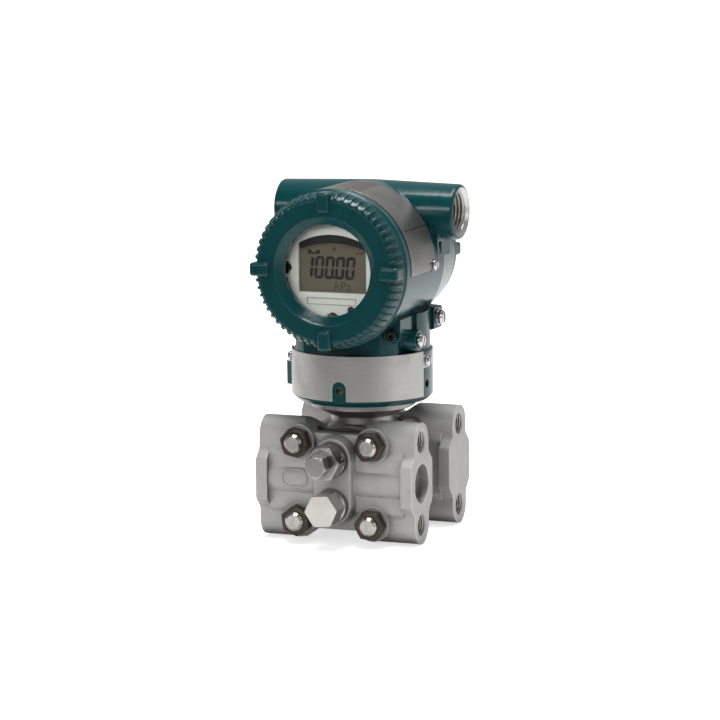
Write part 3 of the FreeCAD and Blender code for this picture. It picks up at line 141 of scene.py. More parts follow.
def seen_share(tree, pale_side):
    """1 for what the viewer and clear glass see, and pale_side for what gloss and metal mirror."""
    rays = shader_node(tree, "ShaderNodeLightPath").outputs
    mirrored = calc(tree, "MULTIPLY", rays["Is Glossy Ray"], pale_side)
    bounces = calc(tree, "ADD", rays["Diffuse Depth"], rays["Glossy Depth"])
    through = calc(tree, "MULTIPLY", rays["Is Transmission Ray"], calc(tree, "LESS_THAN", bounces, 0.5))
    straight = calc(tree, "MAXIMUM", rays["Is Camera Ray"], through)
    return calc(tree, "MAXIMUM", straight, mirrored)


def mirrored_front(tree, spot):
    """1 where gloss mirrors the floor in front of the transmitter, which is given painted shade there."""
    gloss = shader_node(tree, "ShaderNodeLightPath").outputs["Is Glossy Ray"]
    return calc(tree, "MULTIPLY", gloss, ramp(tree, parts_of(tree, spot)["Y"], -0.12, -0.40))


# What gloss mirrors of the floor pales towards the back and the right, and
# the floor glows a little less close to the transmitter's foot.
FLOOR_RADIUS = 9.0
FLOOR_DROP = 0.0006
floor_finish, tree, shader = new_finish("pale_floor")
spot = piece_place(tree)
tint = blend_of(tree, noise(tree, spot, 3.0), (0.88, 0.88, 0.88, 1), (0.92, 0.92, 0.92, 1))
# What gloss sees of the floor in front is dark grey: painted shade.
shade = blend_of(tree, mirrored_front(tree, spot), tint, (0.12, 0.12, 0.12, 1))
fill(tree, shader, {"Base Color": shade, "Roughness": 0.9, "Specular IOR Level": 0.0})
side = parts_of(tree, spot)
pale = calc(tree, "MAXIMUM", ramp(tree, side["Y"], -0.30, 0.25, 0.0, 0.26),
            ramp(tree, side["X"], 0.15, 0.6, 0.0, 0.35))
far = vector_calc(tree, "LENGTH", spot)
strength = calc(tree, "MULTIPLY", seen_share(tree, pale), ramp(tree, far, 0.12, 0.75, 0.62, 1.0))
glow = shader_node(tree, "ShaderNodeEmission", {"Color": (1, 1, 1, 1), "Strength": strength})
both = shader_node(tree, "ShaderNodeAddShader", {0: shader.outputs[0], 1: glow.outputs[0]})
fill(tree, tree.nodes["Material Output"], {"Surface": both.outputs[0]})

bpy.ops.mesh.primitive_circle_add(vertices=96, radius=FLOOR_RADIUS, fill_type="NGON",
                                  location=(0, 0, -FLOOR_DROP))
floor = bpy.context.object
floor.name = "pale_floor"
floor.data.materials.append(floor_finish)
bpy.ops.object.select_all(action="DESELECT")

# The sky pales the same way, and its dim light is stronger from there.
room = bpy.data.worlds.new("room")
room.use_nodes = True
tree = room.node_tree
side = parts_of(tree, shader_node(tree, "ShaderNodeTexCoord").outputs["Generated"])
pale = calc(tree, "MAXIMUM", ramp(tree, side["Y"], -0.35, 0.55, 0.0, 0.38),
            ramp(tree, side["X"], 0.55, 0.95, 0.0, 0.24))
even = calc(tree, "ADD", 0.09, calc(tree, "MULTIPLY", pale, 0.9))
strength = calc(tree, "MAXIMUM", seen_share(tree, pale), even)
fill(tree, tree.nodes["Background"], {"Color": (0.98, 0.99, 1.0, 1), "Strength": strength})
bpy.context.scene.world = room
bpy.context.scene.view_settings.view_transform = "Standard"

LAMP_AIM = Vector((0.0, 0.0, 0.10))


def hang_panel(name, place, width, height, watts):
    """A soft rectangular lamp at place that looks towards the transmitter."""
    data = bpy.data.lights.new(name, "AREA")
    data.shape = "RECTANGLE"
    data.size = width
    data.size_y = height
    data.energy = watts
    lamp = bpy.data.objects.new(name, data)
    lamp.location = place
    lamp.rotation_euler = (LAMP_AIM - Vector(place)).to_track_quat("-Z", "Y").to_euler()
    bpy.context.scene.collection.objects.link(lamp)


hang_panel("front_panel", (-0.45, -2.85, 1.02), width=2.60, height=0.55, watts=27.0)
hang_panel("top_panel", (0.05, -0.02, 1.15), width=0.80, height=0.55, watts=17.0)
hang_panel("right_panel", (1.05, -0.35, 0.45), width=0.20, height=0.45, watts=1.0)


# ---- Cover flanges --------------------------------------------------------
# Two identical cover flanges close the sensor capsule. They are investment
# castings of stainless steel, blasted with fine beads all over, then bored
# and tapped for the process pipe and for the manifold screws.
def new_group(name, inputs, outputs):
    """A node group with named sockets. Returns tree, its inputs' sockets, its output node."""
    tree = bpy.data.node_groups.new(name, "ShaderNodeTree")
    for label, kind, value in inputs:
        socket = tree.interface.new_socket(label, in_out="INPUT", socket_type="NodeSocket" + kind)
        if kind == "Float":
            socket.default_value = value
    for label, kind in outputs:
        tree.interface.new_socket(label, in_out="OUTPUT", socket_type="NodeSocket" + kind)
    return tree, tree.nodes.new("NodeGroupInput").outputs, tree.nodes.new("NodeGroupOutput")


def use_group(tree, group, sockets):
    """Place a node group and fill its sockets. Returns what it puts out."""
    return shader_node(tree, "ShaderNodeGroup", sockets, node_tree=group).outputs


# Rounded corners, bright rubbed edges and painted shade in the corners.
RUB_PATCHES = 260.0
RUB_GAIN = 9.0
edge_group, given, result = new_group(
    "edges_and_corner_shade", [("Radius", "Float", 0.0004), ("Corner reach", "Float", 0.003)],
    [("Rubbed", "Float"), ("Corner shade", "Float"), ("Normal", "Vector")])
tree = edge_group
rounded = shader_node(tree, "ShaderNodeBevel", {"Radius": given["Radius"]}, samples=6).outputs["Normal"]
flat = shader_node(tree, "ShaderNodeNewGeometry").outputs["Normal"]
bend = calc(tree, "SUBTRACT", 1.0, vector_calc(tree, "DOT_PRODUCT", rounded, flat))
sky = shader_node(tree, "ShaderNodeAmbientOcclusion", {"Distance": given["Corner reach"]}, samples=6)
open_air = sky.outputs["AO"]
rub = calc(tree, "MULTIPLY", calc(tree, "MULTIPLY", bend, RUB_GAIN), open_air)
rub = calc(tree, "MULTIPLY", rub, noise(tree, piece_place(tree), RUB_PATCHES))
# Corner is painted shade: one minus the ambient occlusion.
fill(tree, result, {"Rubbed": shader_node(tree, "ShaderNodeClamp", {"Value": rub}).outputs[0],
                    "Corner shade": calc(tree, "SUBTRACT", 1.0, open_air), "Normal": rounded})

# The skin of a casting: fine grain from the beads over a slow unevenness.
cast_group, given, result = new_group(
    "cast_skin", [("Grain", "Float", 1500.0), ("Waves", "Float", 90.0), ("Wave share", "Float", 0.4)],
    [("Height", "Float"), ("Mottle", "Float")])
tree = cast_group
spot = piece_place(tree)
fine = noise(tree, spot, given["Grain"], 3.0)
slow = noise(tree, spot, given["Waves"])
height = calc(tree, "ADD", fine, calc(tree, "MULTIPLY", slow, given["Wave share"]))
fill(tree, result, {"Height": height, "Mottle": slow})


def laid_over(tree, tone, mask, amount, colour):
    """A tone with another colour laid over it where mask is 1, as strongly as amount."""
    return blend_of(tree, calc(tree, "MULTIPLY", mask, amount), tone, colour)


def place_from(tree, centre, spread=None):
    """A point's place from centre. With spread, from the nearest of the centres mirrored about it."""
    place = vector_calc(tree, "SUBTRACT", piece_place(tree), centre)
    if spread:
        place = vector_calc(tree, "SUBTRACT", vector_calc(tree, "ABSOLUTE", place), spread)
    return place


def inside(tree, axis, radius, centre, spread=None):
    """1 inside a bore along an axis, which is 0 for X and 1 for Y."""
    flatten = tuple(float(side != axis) for side in range(3))
    flattened = vector_calc(tree, "MULTIPLY", place_from(tree, centre, spread), flatten)
    return calc(tree, "LESS_THAN", vector_calc(tree, "LENGTH", flattened), radius)


def coat(tree, shader, tone, rough, height, normal, strength, depth):
    """Lead colour, roughness and a normal with its relief into the shader."""
    relief = {"Height": height, "Normal": normal, "Strength": strength, "Distance": depth}
    bump = shader_node(tree, "ShaderNodeBump", relief)
    fill(tree, shader, {"Base Color": tone, "Roughness": rough, "Normal": bump.outputs["Normal"]})


FLANGE_END = 0.0409
FLANGE_AXIS_Y = 0.027
MIDDLE_Z = 0.030
TAP_SPREAD = 0.0413
TAP_BORE = 0.0050
PORT_BORE = 0.00595
TAP_SHADE_REACH = 0.00012
PORT_SHADE_REACH = 0.0001

cast_steel, tree, shader = new_finish("blasted_cast_stainless")
edges = use_group(tree, edge_group, {"Radius": 0.0007, "Corner reach": 0.006})
skin = use_group(tree, cast_group, {"Grain": 1700.0, "Waves": 120.0, "Wave share": 0.8})
tone = blend_of(tree, skin["Mottle"], (0.41, 0.405, 0.39, 1), (0.51, 0.505, 0.49, 1))
tone = blend_of(tree, edges["Rubbed"], tone, (0.74, 0.73, 0.71, 1))
# Painted shade darkens the casting's corners and recesses.
tone = laid_over(tree, tone, edges["Corner shade"], 0.85, (0.10, 0.095, 0.085, 1))
# Painted shade darkens the tapped holes and the ports. The front port is on the right and the rear port on
# the left.
flange_middle = (0.0, 0.0, MIDDLE_Z)
taps = inside(tree, 0, TAP_BORE + TAP_SHADE_REACH, flange_middle, (0.0, FLANGE_AXIS_Y, TAP_SPREAD / 2))
ports = inside(tree, 0, PORT_BORE + PORT_SHADE_REACH, flange_middle, (0.0, FLANGE_AXIS_Y, 0.0))
side = parts_of(tree, piece_place(tree))
port_end = calc(tree, "LESS_THAN", calc(tree, "MULTIPLY", side["X"], side["Y"]), 0.0)
hole_shade = calc(tree, "MAXIMUM", taps, calc(tree, "MULTIPLY", ports, port_end))
tone = laid_over(tree, tone, hole_shade, 0.85, (0.05, 0.047, 0.043, 1))
rough = calc(tree, "SUBTRACT", 0.62, calc(tree, "MULTIPLY", edges["Rubbed"], 0.25))
coat(tree, shader, tone, rough, skin["Height"], edges["Normal"], strength=0.55, depth=0.00025)
fill(tree, shader, {"Metallic": 0.85})


def dress(finish, *names):
    """Give CAD nodes their finish."""
    for name in names:
        nodes[name].data.materials.clear()
        nodes[name].data.materials.append(finish)


dress(cast_steel, "front_cover_flange", "rear_cover_flange")

NEAR = 0.00001
MERGE = 0.000002
SMOOTH_ANGLE = math.radians(40)


def edit_all(kind="VERT"):
    """Open the active piece in edit mode with all of it selected."""
    bpy.ops.object.mode_set(mode="EDIT")
    bpy.ops.mesh.select_mode(type=kind)
    bpy.ops.mesh.select_all(action="SELECT")


def pick(piece, wanted):
    """Open the active piece in edit mode with the vertices selected whose place passes wanted."""
    bpy.ops.object.mode_set(mode="EDIT")
    bpy.ops.mesh.select_mode(type="VERT")
    bpy.ops.mesh.select_all(action="DESELECT")
    bpy.ops.object.mode_set(mode="OBJECT")
    for vertex in piece.data.vertices:
        vertex.select = wanted(vertex.co)
    bpy.ops.object.mode_set(mode="EDIT")


def pull_apart(piece, axis, centre, reach):
    """Move the two halves of a piece away from centre along an axis."""
    for way in (-1, 1):
        pick(piece, lambda place: (place[axis] - centre) * way > NEAR)
        shift = [0.0, 0.0, 0.0]
        shift[axis] = way * reach
        bpy.ops.transform.translate(value=shift)
        bpy.ops.object.mode_set(mode="OBJECT")


def keep_rim(width):
    """Cut the active flat piece back to a rim of that width."""
    edit_all("FACE")
    bpy.ops.mesh.inset(thickness=width, use_boundary=True)
    bpy.ops.mesh.delete(type="FACE")
    bpy.ops.object.mode_set(mode="OBJECT")


def shaped_by(piece, kind, **settings):
    """Put a modifier on the active piece, set it and apply it."""
    modifier = piece.modifiers.new(kind.lower(), kind)
    for key, value in settings.items():
        setattr(modifier, key, value)
    bpy.ops.object.modifier_apply(modifier=modifier.name)


def place_in_mesh():
    """Put the selected pieces' places and turns into their meshes."""
    bpy.ops.object.transform_apply(location=True, rotation=True, scale=True)


def face_outwards():
    """Merge the active piece's doubles and turn all its faces outwards."""
    edit_all()
    bpy.ops.mesh.remove_doubles(threshold=MERGE)
    bpy.ops.mesh.normals_make_consistent(inside=False)
    bpy.ops.object.mode_set(mode="OBJECT")


def copied(piece, place, turn=(0.0, 0.0, 0.0)):
    """A copy with its own mesh, turned and moved."""
    twin = piece.copy()
    twin.data = piece.data.copy()
    twin.location = place
    twin.rotation_euler = turn
    bpy.context.scene.collection.objects.link(twin)
    return twin


def finish_piece(piece, name, body, material):
    """Settle and name a piece, give it its finish, and hang it on its body."""
    bpy.ops.object.select_all(action="DESELECT")
    piece.select_set(True)
    bpy.context.view_layer.objects.active = piece
    place_in_mesh()
    piece.name = name
    piece.data.name = name
    piece.data.materials.clear()
    piece.data.materials.append(material)
    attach(piece, body)
    bpy.ops.object.select_all(action="DESELECT")


RIDGE_ROOT = 0.0001
RIDGE_SIZE = 0.52


def thread_ridge(wall, height, pitch, turns, steps):
    """One thread ridge round the X axis, standing height in from a bore of radius wall."""
    bpy.ops.object.select_all(action="DESELECT")
    radius = pitch * RIDGE_SIZE
    bpy.ops.mesh.primitive_circle_add(vertices=3, radius=radius, fill_type="NOTHING",
                                      location=(0, 0, wall), rotation=(math.radians(-90), 0, 0))
    ridge = bpy.context.object
    place_in_mesh()
    stretch = (height + RIDGE_ROOT) / (1.5 * radius)
    edit_all()
    bpy.ops.transform.resize(value=(1, 1, stretch), center_override=(0, 0, wall))
    bpy.ops.transform.translate(value=(0, 0, stretch * radius - height))
    bpy.ops.object.mode_set(mode="OBJECT")
    shaped_by(ridge, "SCREW", axis="X", screw_offset=pitch, iterations=turns, steps=steps,
              render_steps=steps, use_merge_vertices=False)
    edit_all()
    bpy.ops.mesh.fill_holes(sides=3)
    bpy.ops.object.mode_set(mode="OBJECT")
    face_outwards()
    bpy.ops.object.shade_smooth_by_angle(angle=SMOOTH_ANGLE)
    return ridge


HALF_TURN = (0.0, 0.0, math.pi)


def cut_thread(ridge, name, place, body, material):
    """Set a copy of a thread ridge into a hole. It runs from place towards the middle of the piece."""
    turn = HALF_TURN if place[0] > 0 else (0.0, 0.0, 0.0)
    finish_piece(copied(ridge, place, turn), name, body, material)


def small_metal(name, dark, light, rough, metallic, edge, grain, relief, rubbed=None, corner_shade=None):
    """Finely worked metal.

    edge is its radius and reach, grain its two scales and their share, relief
    its strength and depth, and the last argument the strength and colour of painted shade in its corners.
    """
    material, tree, shader = new_finish(name)
    edges = use_group(tree, edge_group, {"Radius": edge[0], "Corner reach": edge[1]})
    skin = use_group(tree, cast_group, {"Grain": grain[0], "Waves": grain[1], "Wave share": grain[2]})
    tone = blend_of(tree, skin["Mottle"], dark, light)
    if rubbed:
        tone = blend_of(tree, edges["Rubbed"], tone, rubbed)
    # Painted shade darkens its corners.
    if corner_shade:
        tone = laid_over(tree, tone, edges["Corner shade"], corner_shade[0], corner_shade[1])
    coat(tree, shader, tone, rough, skin["Height"], edges["Normal"], *relief)
    fill(tree, shader, {"Metallic": metallic})
    return material


def tapped_metal(name, dark, light):
    """The walls that a tap leaves, with painted shade in the thread's grooves."""
    return small_metal(name, dark, light, rough=0.38, metallic=1.0, edge=(0.0001, 0.0012),
                       grain=(3200.0, 700.0, 0.6), relief=(0.3, 0.00003),
                       corner_shade=(0.9, (0.04, 0.036, 0.032, 1)))


# Tapped holes and process ports are cut with a tap after the casting is bored.
TAP_PITCH = 0.00127
TAP_RIDGE = 0.0004
TAP_START = 0.0014
PORT_PITCH = 0.001411
PORT_RIDGE = 0.0005
PORT_START = 0.0067

thread_steel = tapped_metal("tapped_hole_steel", (0.30, 0.29, 0.27, 1), (0.48, 0.47, 0.45, 1))
tap_ridge = thread_ridge(TAP_BORE, TAP_RIDGE, TAP_PITCH, turns=9, steps=24)
for row, y in (("front", -FLANGE_AXIS_Y), ("rear", FLANGE_AXIS_Y)):
    for level, z in (("lower", MIDDLE_Z - TAP_SPREAD / 2), ("upper", MIDDLE_Z + TAP_SPREAD / 2)):
        for end, x in (("left", TAP_START - FLANGE_END), ("right", FLANGE_END - TAP_START)):
            name = "_".join((row, end, level, "thread"))
            cut_thread(tap_ridge, name, (x, y, z), "sensor", thread_steel)
bpy.data.objects.remove(tap_ridge)

port_ridge = thread_ridge(PORT_BORE, PORT_RIDGE, PORT_PITCH, turns=8, steps=24)
for name, way in (("front_port_thread", 1), ("rear_port_thread", -1)):
    place = (way * (FLANGE_END - PORT_START), -way * FLANGE_AXIS_Y, MIDDLE_Z)
    cut_thread(port_ridge, name, place, "sensor", thread_steel)
bpy.data.objects.remove(port_ridge)

# A raised oval outline is cast on the long rib of each cover flange. It is blank.
OVAL_X = -0.0208
OVAL_Z = 0.0313
OVAL_R = 0.0046
OVAL_STRAIGHT = 0.0024
OVAL_LINE = 0.00075
OVAL_THICK = 0.0007
OVAL_SOFT = 0.0001
IN_FRONT = -0.060
STANDING = (math.radians(90), 0.0, 0.0)

bpy.ops.mesh.primitive_circle_add(vertices=64, radius=OVAL_R, fill_type="NGON",
                                  location=(OVAL_X, IN_FRONT, OVAL_Z), rotation=STANDING)
oval = bpy.context.object
place_in_mesh()
pull_apart(oval, 0, OVAL_X, OVAL_STRAIGHT)
keep_rim(OVAL_LINE)
shaped_by(oval, "SHRINKWRAP", target=nodes["front_cover_flange"], wrap_method="PROJECT", use_project_y=True,
          use_negative_direction=True, use_positive_direction=True)
shaped_by(oval, "SOLIDIFY", thickness=OVAL_THICK, offset=0.0)
shaped_by(oval, "BEVEL", width=OVAL_SOFT, segments=2)
face_outwards()
bpy.ops.object.shade_smooth_by_angle(angle=SMOOTH_ANGLE)
rear_oval = copied(oval, (0, 0, 0), HALF_TURN)
finish_piece(oval, "front_blank_oval", "sensor", cast_steel)
finish_piece(rear_oval, "rear_blank_oval", "sensor", cast_steel)

# ---- Capsule --------------------------------------------------------------
# The capsule body is turned from stainless bar and blasted, with a bright
# shoulder. Its stem carries the housing, and its thin discs feel the pressure.
CUT_PITCH = 0.0003
CUT_DEPTH = 0.00004
turned_group, given, result = new_group(
    "lathe_lines", [("Vector", "Vector", None), ("Pitch", "Float", CUT_PITCH)],
    [("Height", "Float"), ("Streak", "Float")])
tree = turned_group
side = parts_of(tree, given["Vector"])
squares = calc(tree, "ADD", calc(tree, "MULTIPLY", side["X"], side["X"]),
               calc(tree, "MULTIPLY", side["Y"], side["Y"]))
path = calc(tree, "ADD", calc(tree, "SQRT", squares), side["Z"])
cuts = calc(tree, "DIVIDE", calc(tree, "MULTIPLY", path, math.tau), given["Pitch"])
streaks = {"W": calc(tree, "MULTIPLY", path, 4000.0), "Scale": 1.0, "Detail": 3.0}
uneven = shader_node(tree, "ShaderNodeTexNoise", streaks, noise_dimensions="1D").outputs["Fac"]
height = calc(tree, "ADD", calc(tree, "MULTIPLY", calc(tree, "SINE", cuts), 0.3), uneven)
fill(tree, result, {"Height": height, "Streak": uneven})


def turned_finish(name, dark, bright, roughness, centre, turn, spread=None):
    """Lathe-turned metal about an axis through centre. turn lays that axis on Z."""
    material, tree, shader = new_finish(name)
    place = place_from(tree, centre, spread)
    laid = shader_node(tree, "ShaderNodeMapping", {"Vector": place, "Rotation": turn}).outputs[0]
    lines = use_group(tree, turned_group, {"Vector": laid, "Pitch": CUT_PITCH})
    edges = use_group(tree, edge_group, {"Radius": 0.0003, "Corner reach": 0.0025})
    tone = blend_of(tree, lines["Streak"], dark, bright)
    tone = blend_of(tree, edges["Rubbed"], tone, (0.85, 0.84, 0.81, 1))
    # Painted shade darkens its corners.
    tone = laid_over(tree, tone, edges["Corner shade"], 0.8, (0.08, 0.075, 0.065, 1))
    rough = calc(tree, "ADD", roughness - 0.06, calc(tree, "MULTIPLY", lines["Streak"], 0.12))
    coat(tree, shader, tone, rough, lines["Height"], edges["Normal"], strength=0.5, depth=CUT_DEPTH)
    fill(tree, shader, {"Metallic": 1.0})
    return material


ALONG_Y = (math.radians(90), 0.0, 0.0)
ALONG_Z = (0.0, 0.0, 0.0)
capsule_steel = turned_finish("turned_capsule_steel", (0.28, 0.275, 0.265, 1), (0.42, 0.415, 0.40, 1), 0.38,
                              (0.0, 0.0, 0.0), ALONG_Z)
dress(capsule_steel, "capsule_body", "sensor_header")
disc_steel = turned_finish("thin_disc_steel", (0.5, 0.49, 0.47, 1), (0.7, 0.69, 0.66, 1), 0.22,
                           flange_middle, ALONG_Y)
dress(disc_steel, "front_diaphragm", "rear_diaphragm")

# ---- Plugs and bolts ------------------------------------------------------
# Vent and drain plugs are turned and milled from stainless bar and left bright.
# The flange bolts are bright studs with domed ends under dark oxide nuts.
VENT_Z = 0.0423
DRAIN_Z = 0.0193
BOLT_X = 0.01935
BOLT_LIFT = 0.0194

# The vent plugs are the drain plugs' bright steel, given a darker colour: painted shade.
shaded_vent_steel = turned_finish("shaded_vent_plug_steel", (0.22, 0.215, 0.205, 1), (0.50, 0.49, 0.465, 1), 0.22,
                           (0.0, 0.0, VENT_Z), ALONG_Y)
dress(shaded_vent_steel, "front_vent_plug", "rear_vent_plug", "front_vent_screw", "rear_vent_screw")
drain_steel = turned_finish("drain_plug_steel", (0.50, 0.49, 0.45, 1), (0.74, 0.72, 0.67, 1), 0.30,
                            (0.0, 0.0, DRAIN_Z), ALONG_Y)
dress(drain_steel, "front_drain_plug", "rear_drain_plug")
bolt_steel = turned_finish("bright_bolt_steel", (0.34, 0.325, 0.30, 1), (0.58, 0.56, 0.53, 1), 0.25,
                           flange_middle, ALONG_Y, (BOLT_X, 0.0, BOLT_LIFT))
dress(bolt_steel, "flange_bolts")


def oxide(name, dark, light):
    """Steel with a dark oxide coat that its edges have lost."""
    return small_metal(name, dark, light, rough=0.36, metallic=0.9, edge=(0.0004, 0.003),
                       grain=(900.0, 300.0, 0.6), relief=(0.4, 0.0001),
                       rubbed=(0.30, 0.27, 0.23, 1))


nut_oxide = oxide("dark_oxide_nut", (0.035, 0.028, 0.022, 1), (0.085, 0.07, 0.055, 1))
dress(nut_oxide, "flange_nuts")

# ---- Housing and covers ---------------------------------------------------
# Housing and screwed covers are pressure castings of low-copper aluminium,
# coated with glossy deep teal polyurethane. Threads and bores stay bare.
AXIS_Z = 0.1353
CONDUIT_Y = 0.0135
CONDUIT_Z = 0.1588
DISPLAY_ROOM_R = 0.0340
TERMINAL_ROOM_R = 0.0298
ENTRY_R = 0.01215
ENTRY_INNER_X = 0.020


def teal_paint(name, bare_mask=None):
    """Gloss paint over a casting. bare_mask gives 1 where metal stays bare."""
    material, tree, shader = new_finish(name)
    edges = use_group(tree, edge_group, {"Radius": 0.0008, "Corner reach": 0.005})
    skin = use_group(tree, cast_group, {"Grain": 420.0, "Waves": 45.0, "Wave share": 2.2})
    tone = blend_of(tree, skin["Mottle"], (0.0005, 0.036, 0.041, 1), (0.0012, 0.052, 0.057, 1))
    tone = laid_over(tree, tone, edges["Rubbed"], 0.25, (0.02, 0.17, 0.17, 1))
    # Painted shade darkens the paint in its corners.
    tone = laid_over(tree, tone, edges["Corner shade"], 0.6, (0.0005, 0.018, 0.020, 1))
    rough = calc(tree, "ADD", 0.16, calc(tree, "MULTIPLY", skin["Mottle"], 0.10))
    if bare_mask:
        bare = bare_mask(tree)
        tone = blend_of(tree, bare, tone, (0.55, 0.55, 0.53, 1))
        rough = calc(tree, "ADD", rough, calc(tree, "MULTIPLY", bare, 0.14))
        fill(tree, shader, {"Metallic": bare})
    coat(tree, shader, tone, rough, skin["Height"], edges["Normal"], strength=0.35, depth=0.00022)
    fill(tree, shader, {"Specular IOR Level": 0.30, "Coat Weight": 0.12, "Coat Roughness": 0.05})
    return material


def housing_bare(tree):
    """Bare bores: the rooms behind both covers and the two cable entries."""
    side = parts_of(tree, piece_place(tree))
    head_middle = (0.0, 0.0, AXIS_Z)
    display_room = calc(tree, "MULTIPLY", inside(tree, 1, DISPLAY_ROOM_R, head_middle),
                        calc(tree, "LESS_THAN", side["Y"], 0.0))
    terminal_room = calc(tree, "MULTIPLY", inside(tree, 1, TERMINAL_ROOM_R, head_middle),
                         calc(tree, "GREATER_THAN", side["Y"], 0.0))
    entry = calc(tree, "MULTIPLY", inside(tree, 0, ENTRY_R, (0.0, CONDUIT_Y, CONDUIT_Z)),
                 calc(tree, "GREATER_THAN", calc(tree, "ABSOLUTE", side["X"]), ENTRY_INNER_X))
    return calc(tree, "MAXIMUM", calc(tree, "MAXIMUM", display_room, terminal_room), entry)


housing_paint = teal_paint("teal_housing_paint", housing_bare)
cover_paint = teal_paint("teal_cover_paint")
dress(housing_paint, "housing")
dress(cover_paint, "display_cover", "terminal_cover")

# The cable entries are tapped through the bare aluminium.
CONDUIT_END = 0.0473
CONDUIT_BORE = 0.0103
CONDUIT_PITCH = 0.001814
CONDUIT_RIDGE = 0.0008
CONDUIT_START = 0.0024

bare_thread = tapped_metal("tapped_bare_aluminium", (0.30, 0.285, 0.265, 1), (0.50, 0.49, 0.47, 1))
entry_ridge = thread_ridge(CONDUIT_BORE, CONDUIT_RIDGE, CONDUIT_PITCH, turns=8, steps=40)
for name, way in (("left_entry_thread", -1), ("right_entry_thread", 1)):
    place = (way * (CONDUIT_END - CONDUIT_START), CONDUIT_Y, CONDUIT_Z)
    cut_thread(entry_ridge, name, place, "head", bare_thread)
bpy.data.objects.remove(entry_ridge)


# ---- Name band and name plate ---------------------------------------------
# A satin stainless band wraps the collar and a thin stainless plate arches
# over the round body. Small pan head screws hold them. Both are blank but for
# the plate's engraved line.
def darker(colour, share):
    """A colour at a share of its strength."""
    return tuple(value * share for value in colour[:3]) + (1,)


PLATE_LINE_Z = 0.1537
FIELD_X = 0.004
FIELD_HALF = 0.007


def brushed(name, dark, light, stretch, engraved=False):
    """Brushed sheet steel. stretch sets the grain, engraved adds the plate's line and blank field."""
    material, tree, shader = new_finish(name)
    edges = use_group(tree, edge_group, {"Radius": 0.0002, "Corner reach": 0.002})
    place = piece_place(tree)
    stretched = shader_node(tree, "ShaderNodeMapping", {"Vector": place, "Scale": stretch}).outputs[0]
    grain = noise(tree, stretched, 1.0, 3.0)
    tone = blend_of(tree, grain, dark, light)
    stain = calc(tree, "MULTIPLY", ramp(tree, noise(tree, place, 70.0), 0.45, 0.75), 0.35)
    tone = blend_of(tree, stain, tone, darker(dark, 0.6))
    height = grain
    if engraved:
        side = parts_of(tree, place)
        off_line = calc(tree, "ABSOLUTE", calc(tree, "SUBTRACT", side["Z"], PLATE_LINE_Z))
        right_half = calc(tree, "GREATER_THAN", side["X"], 0.0)
        line = calc(tree, "MULTIPLY", ramp(tree, off_line, 0.00030, 0.00015), right_half)
        off_field = calc(tree, "ABSOLUTE", calc(tree, "SUBTRACT", side["X"], FIELD_X))
        field = calc(tree, "LESS_THAN", off_field, FIELD_HALF)
        tone = laid_over(tree, tone, field, 0.55, (0.10, 0.085, 0.075, 1))
        tone = laid_over(tree, tone, line, 0.8, (0.04, 0.035, 0.03, 1))
        height = calc(tree, "SUBTRACT", height, calc(tree, "MULTIPLY", line, 3.0))
    tone = blend_of(tree, edges["Rubbed"], tone, (0.7, 0.69, 0.67, 1))
    rough = calc(tree, "ADD", 0.34, calc(tree, "MULTIPLY", stain, 0.2))
    coat(tree, shader, tone, rough, height, edges["Normal"], strength=0.3, depth=0.00004)
    fill(tree, shader, {"Metallic": 0.9})
    return material


satin_band = brushed("satin_band_steel", (0.40, 0.39, 0.37, 1), (0.48, 0.47, 0.45, 1), (60.0, 60.0, 1800.0))
dress(satin_band, "name_band")
# The plate is the band's satin steel given a darker colour: painted shade.
shaded_plate_steel = brushed("shaded_satin_plate_steel", (0.17, 0.165, 0.155, 1), (0.29, 0.285, 0.27, 1),
                      (60.0, 1800.0, 60.0), engraved=True)
dress(shaded_plate_steel, "name_plate")


# ---- Small screws ---------------------------------------------------------
# Pan head screws of bright stainless hold the band, the plate and the earth
# clamp. The set screws are plated and the lock bolts black socket screws.
def screw_metal(name, dark, light):
    """Small bright screws with painted shade in their slots and sockets."""
    return small_metal(name, dark, light, rough=0.22, metallic=1.0, edge=(0.0002, 0.0015),
                       grain=(2600.0, 500.0, 0.5), relief=(0.3, 0.00005),
                       corner_shade=(0.8, (0.05, 0.045, 0.04, 1)))


screw_steel = screw_metal("bright_screw_steel", (0.50, 0.48, 0.46, 1), (0.72, 0.70, 0.68, 1))
dress(screw_steel, "name_band_screws", "name_plate_screws", "ground_washers", "ground_screw", "zero_screw",
      "display_screws")
socket_steel = screw_metal("plated_socket_steel", (0.16, 0.135, 0.09, 1), (0.30, 0.26, 0.18, 1))
dress(socket_steel, "neck_set_screws")
lock_black = oxide("black_lock_bolt", (0.006, 0.007, 0.009, 1), (0.018, 0.020, 0.024, 1))
dress(lock_black, "cover_lock_bolts")


# ---- Seals ----------------------------------------------------------------
# The cover seals and the neck seal are moulded nitrile rings, the capsule
# gaskets are turned from white fluoroplastic.
def plastic(name, dark, light, roughness, grain=900.0, depth=0.00006):
    """Moulded plastic or rubber with a fine spark-eroded texture."""
    material, tree, shader = new_finish(name)
    edges = use_group(tree, edge_group, {"Radius": 0.0003, "Corner reach": 0.003})
    skin = use_group(tree, cast_group, {"Grain": grain, "Waves": 150.0, "Wave share": 0.4})
    tone = blend_of(tree, skin["Mottle"], dark, light)
    # Painted shade darkens its corners.
    tone = laid_over(tree, tone, edges["Corner shade"], 0.4, darker(dark, 0.35))
    rough = calc(tree, "ADD", roughness - 0.04, calc(tree, "MULTIPLY", skin["Mottle"], 0.08))
    coat(tree, shader, tone, rough, skin["Height"], edges["Normal"], strength=0.4, depth=depth)
    return material


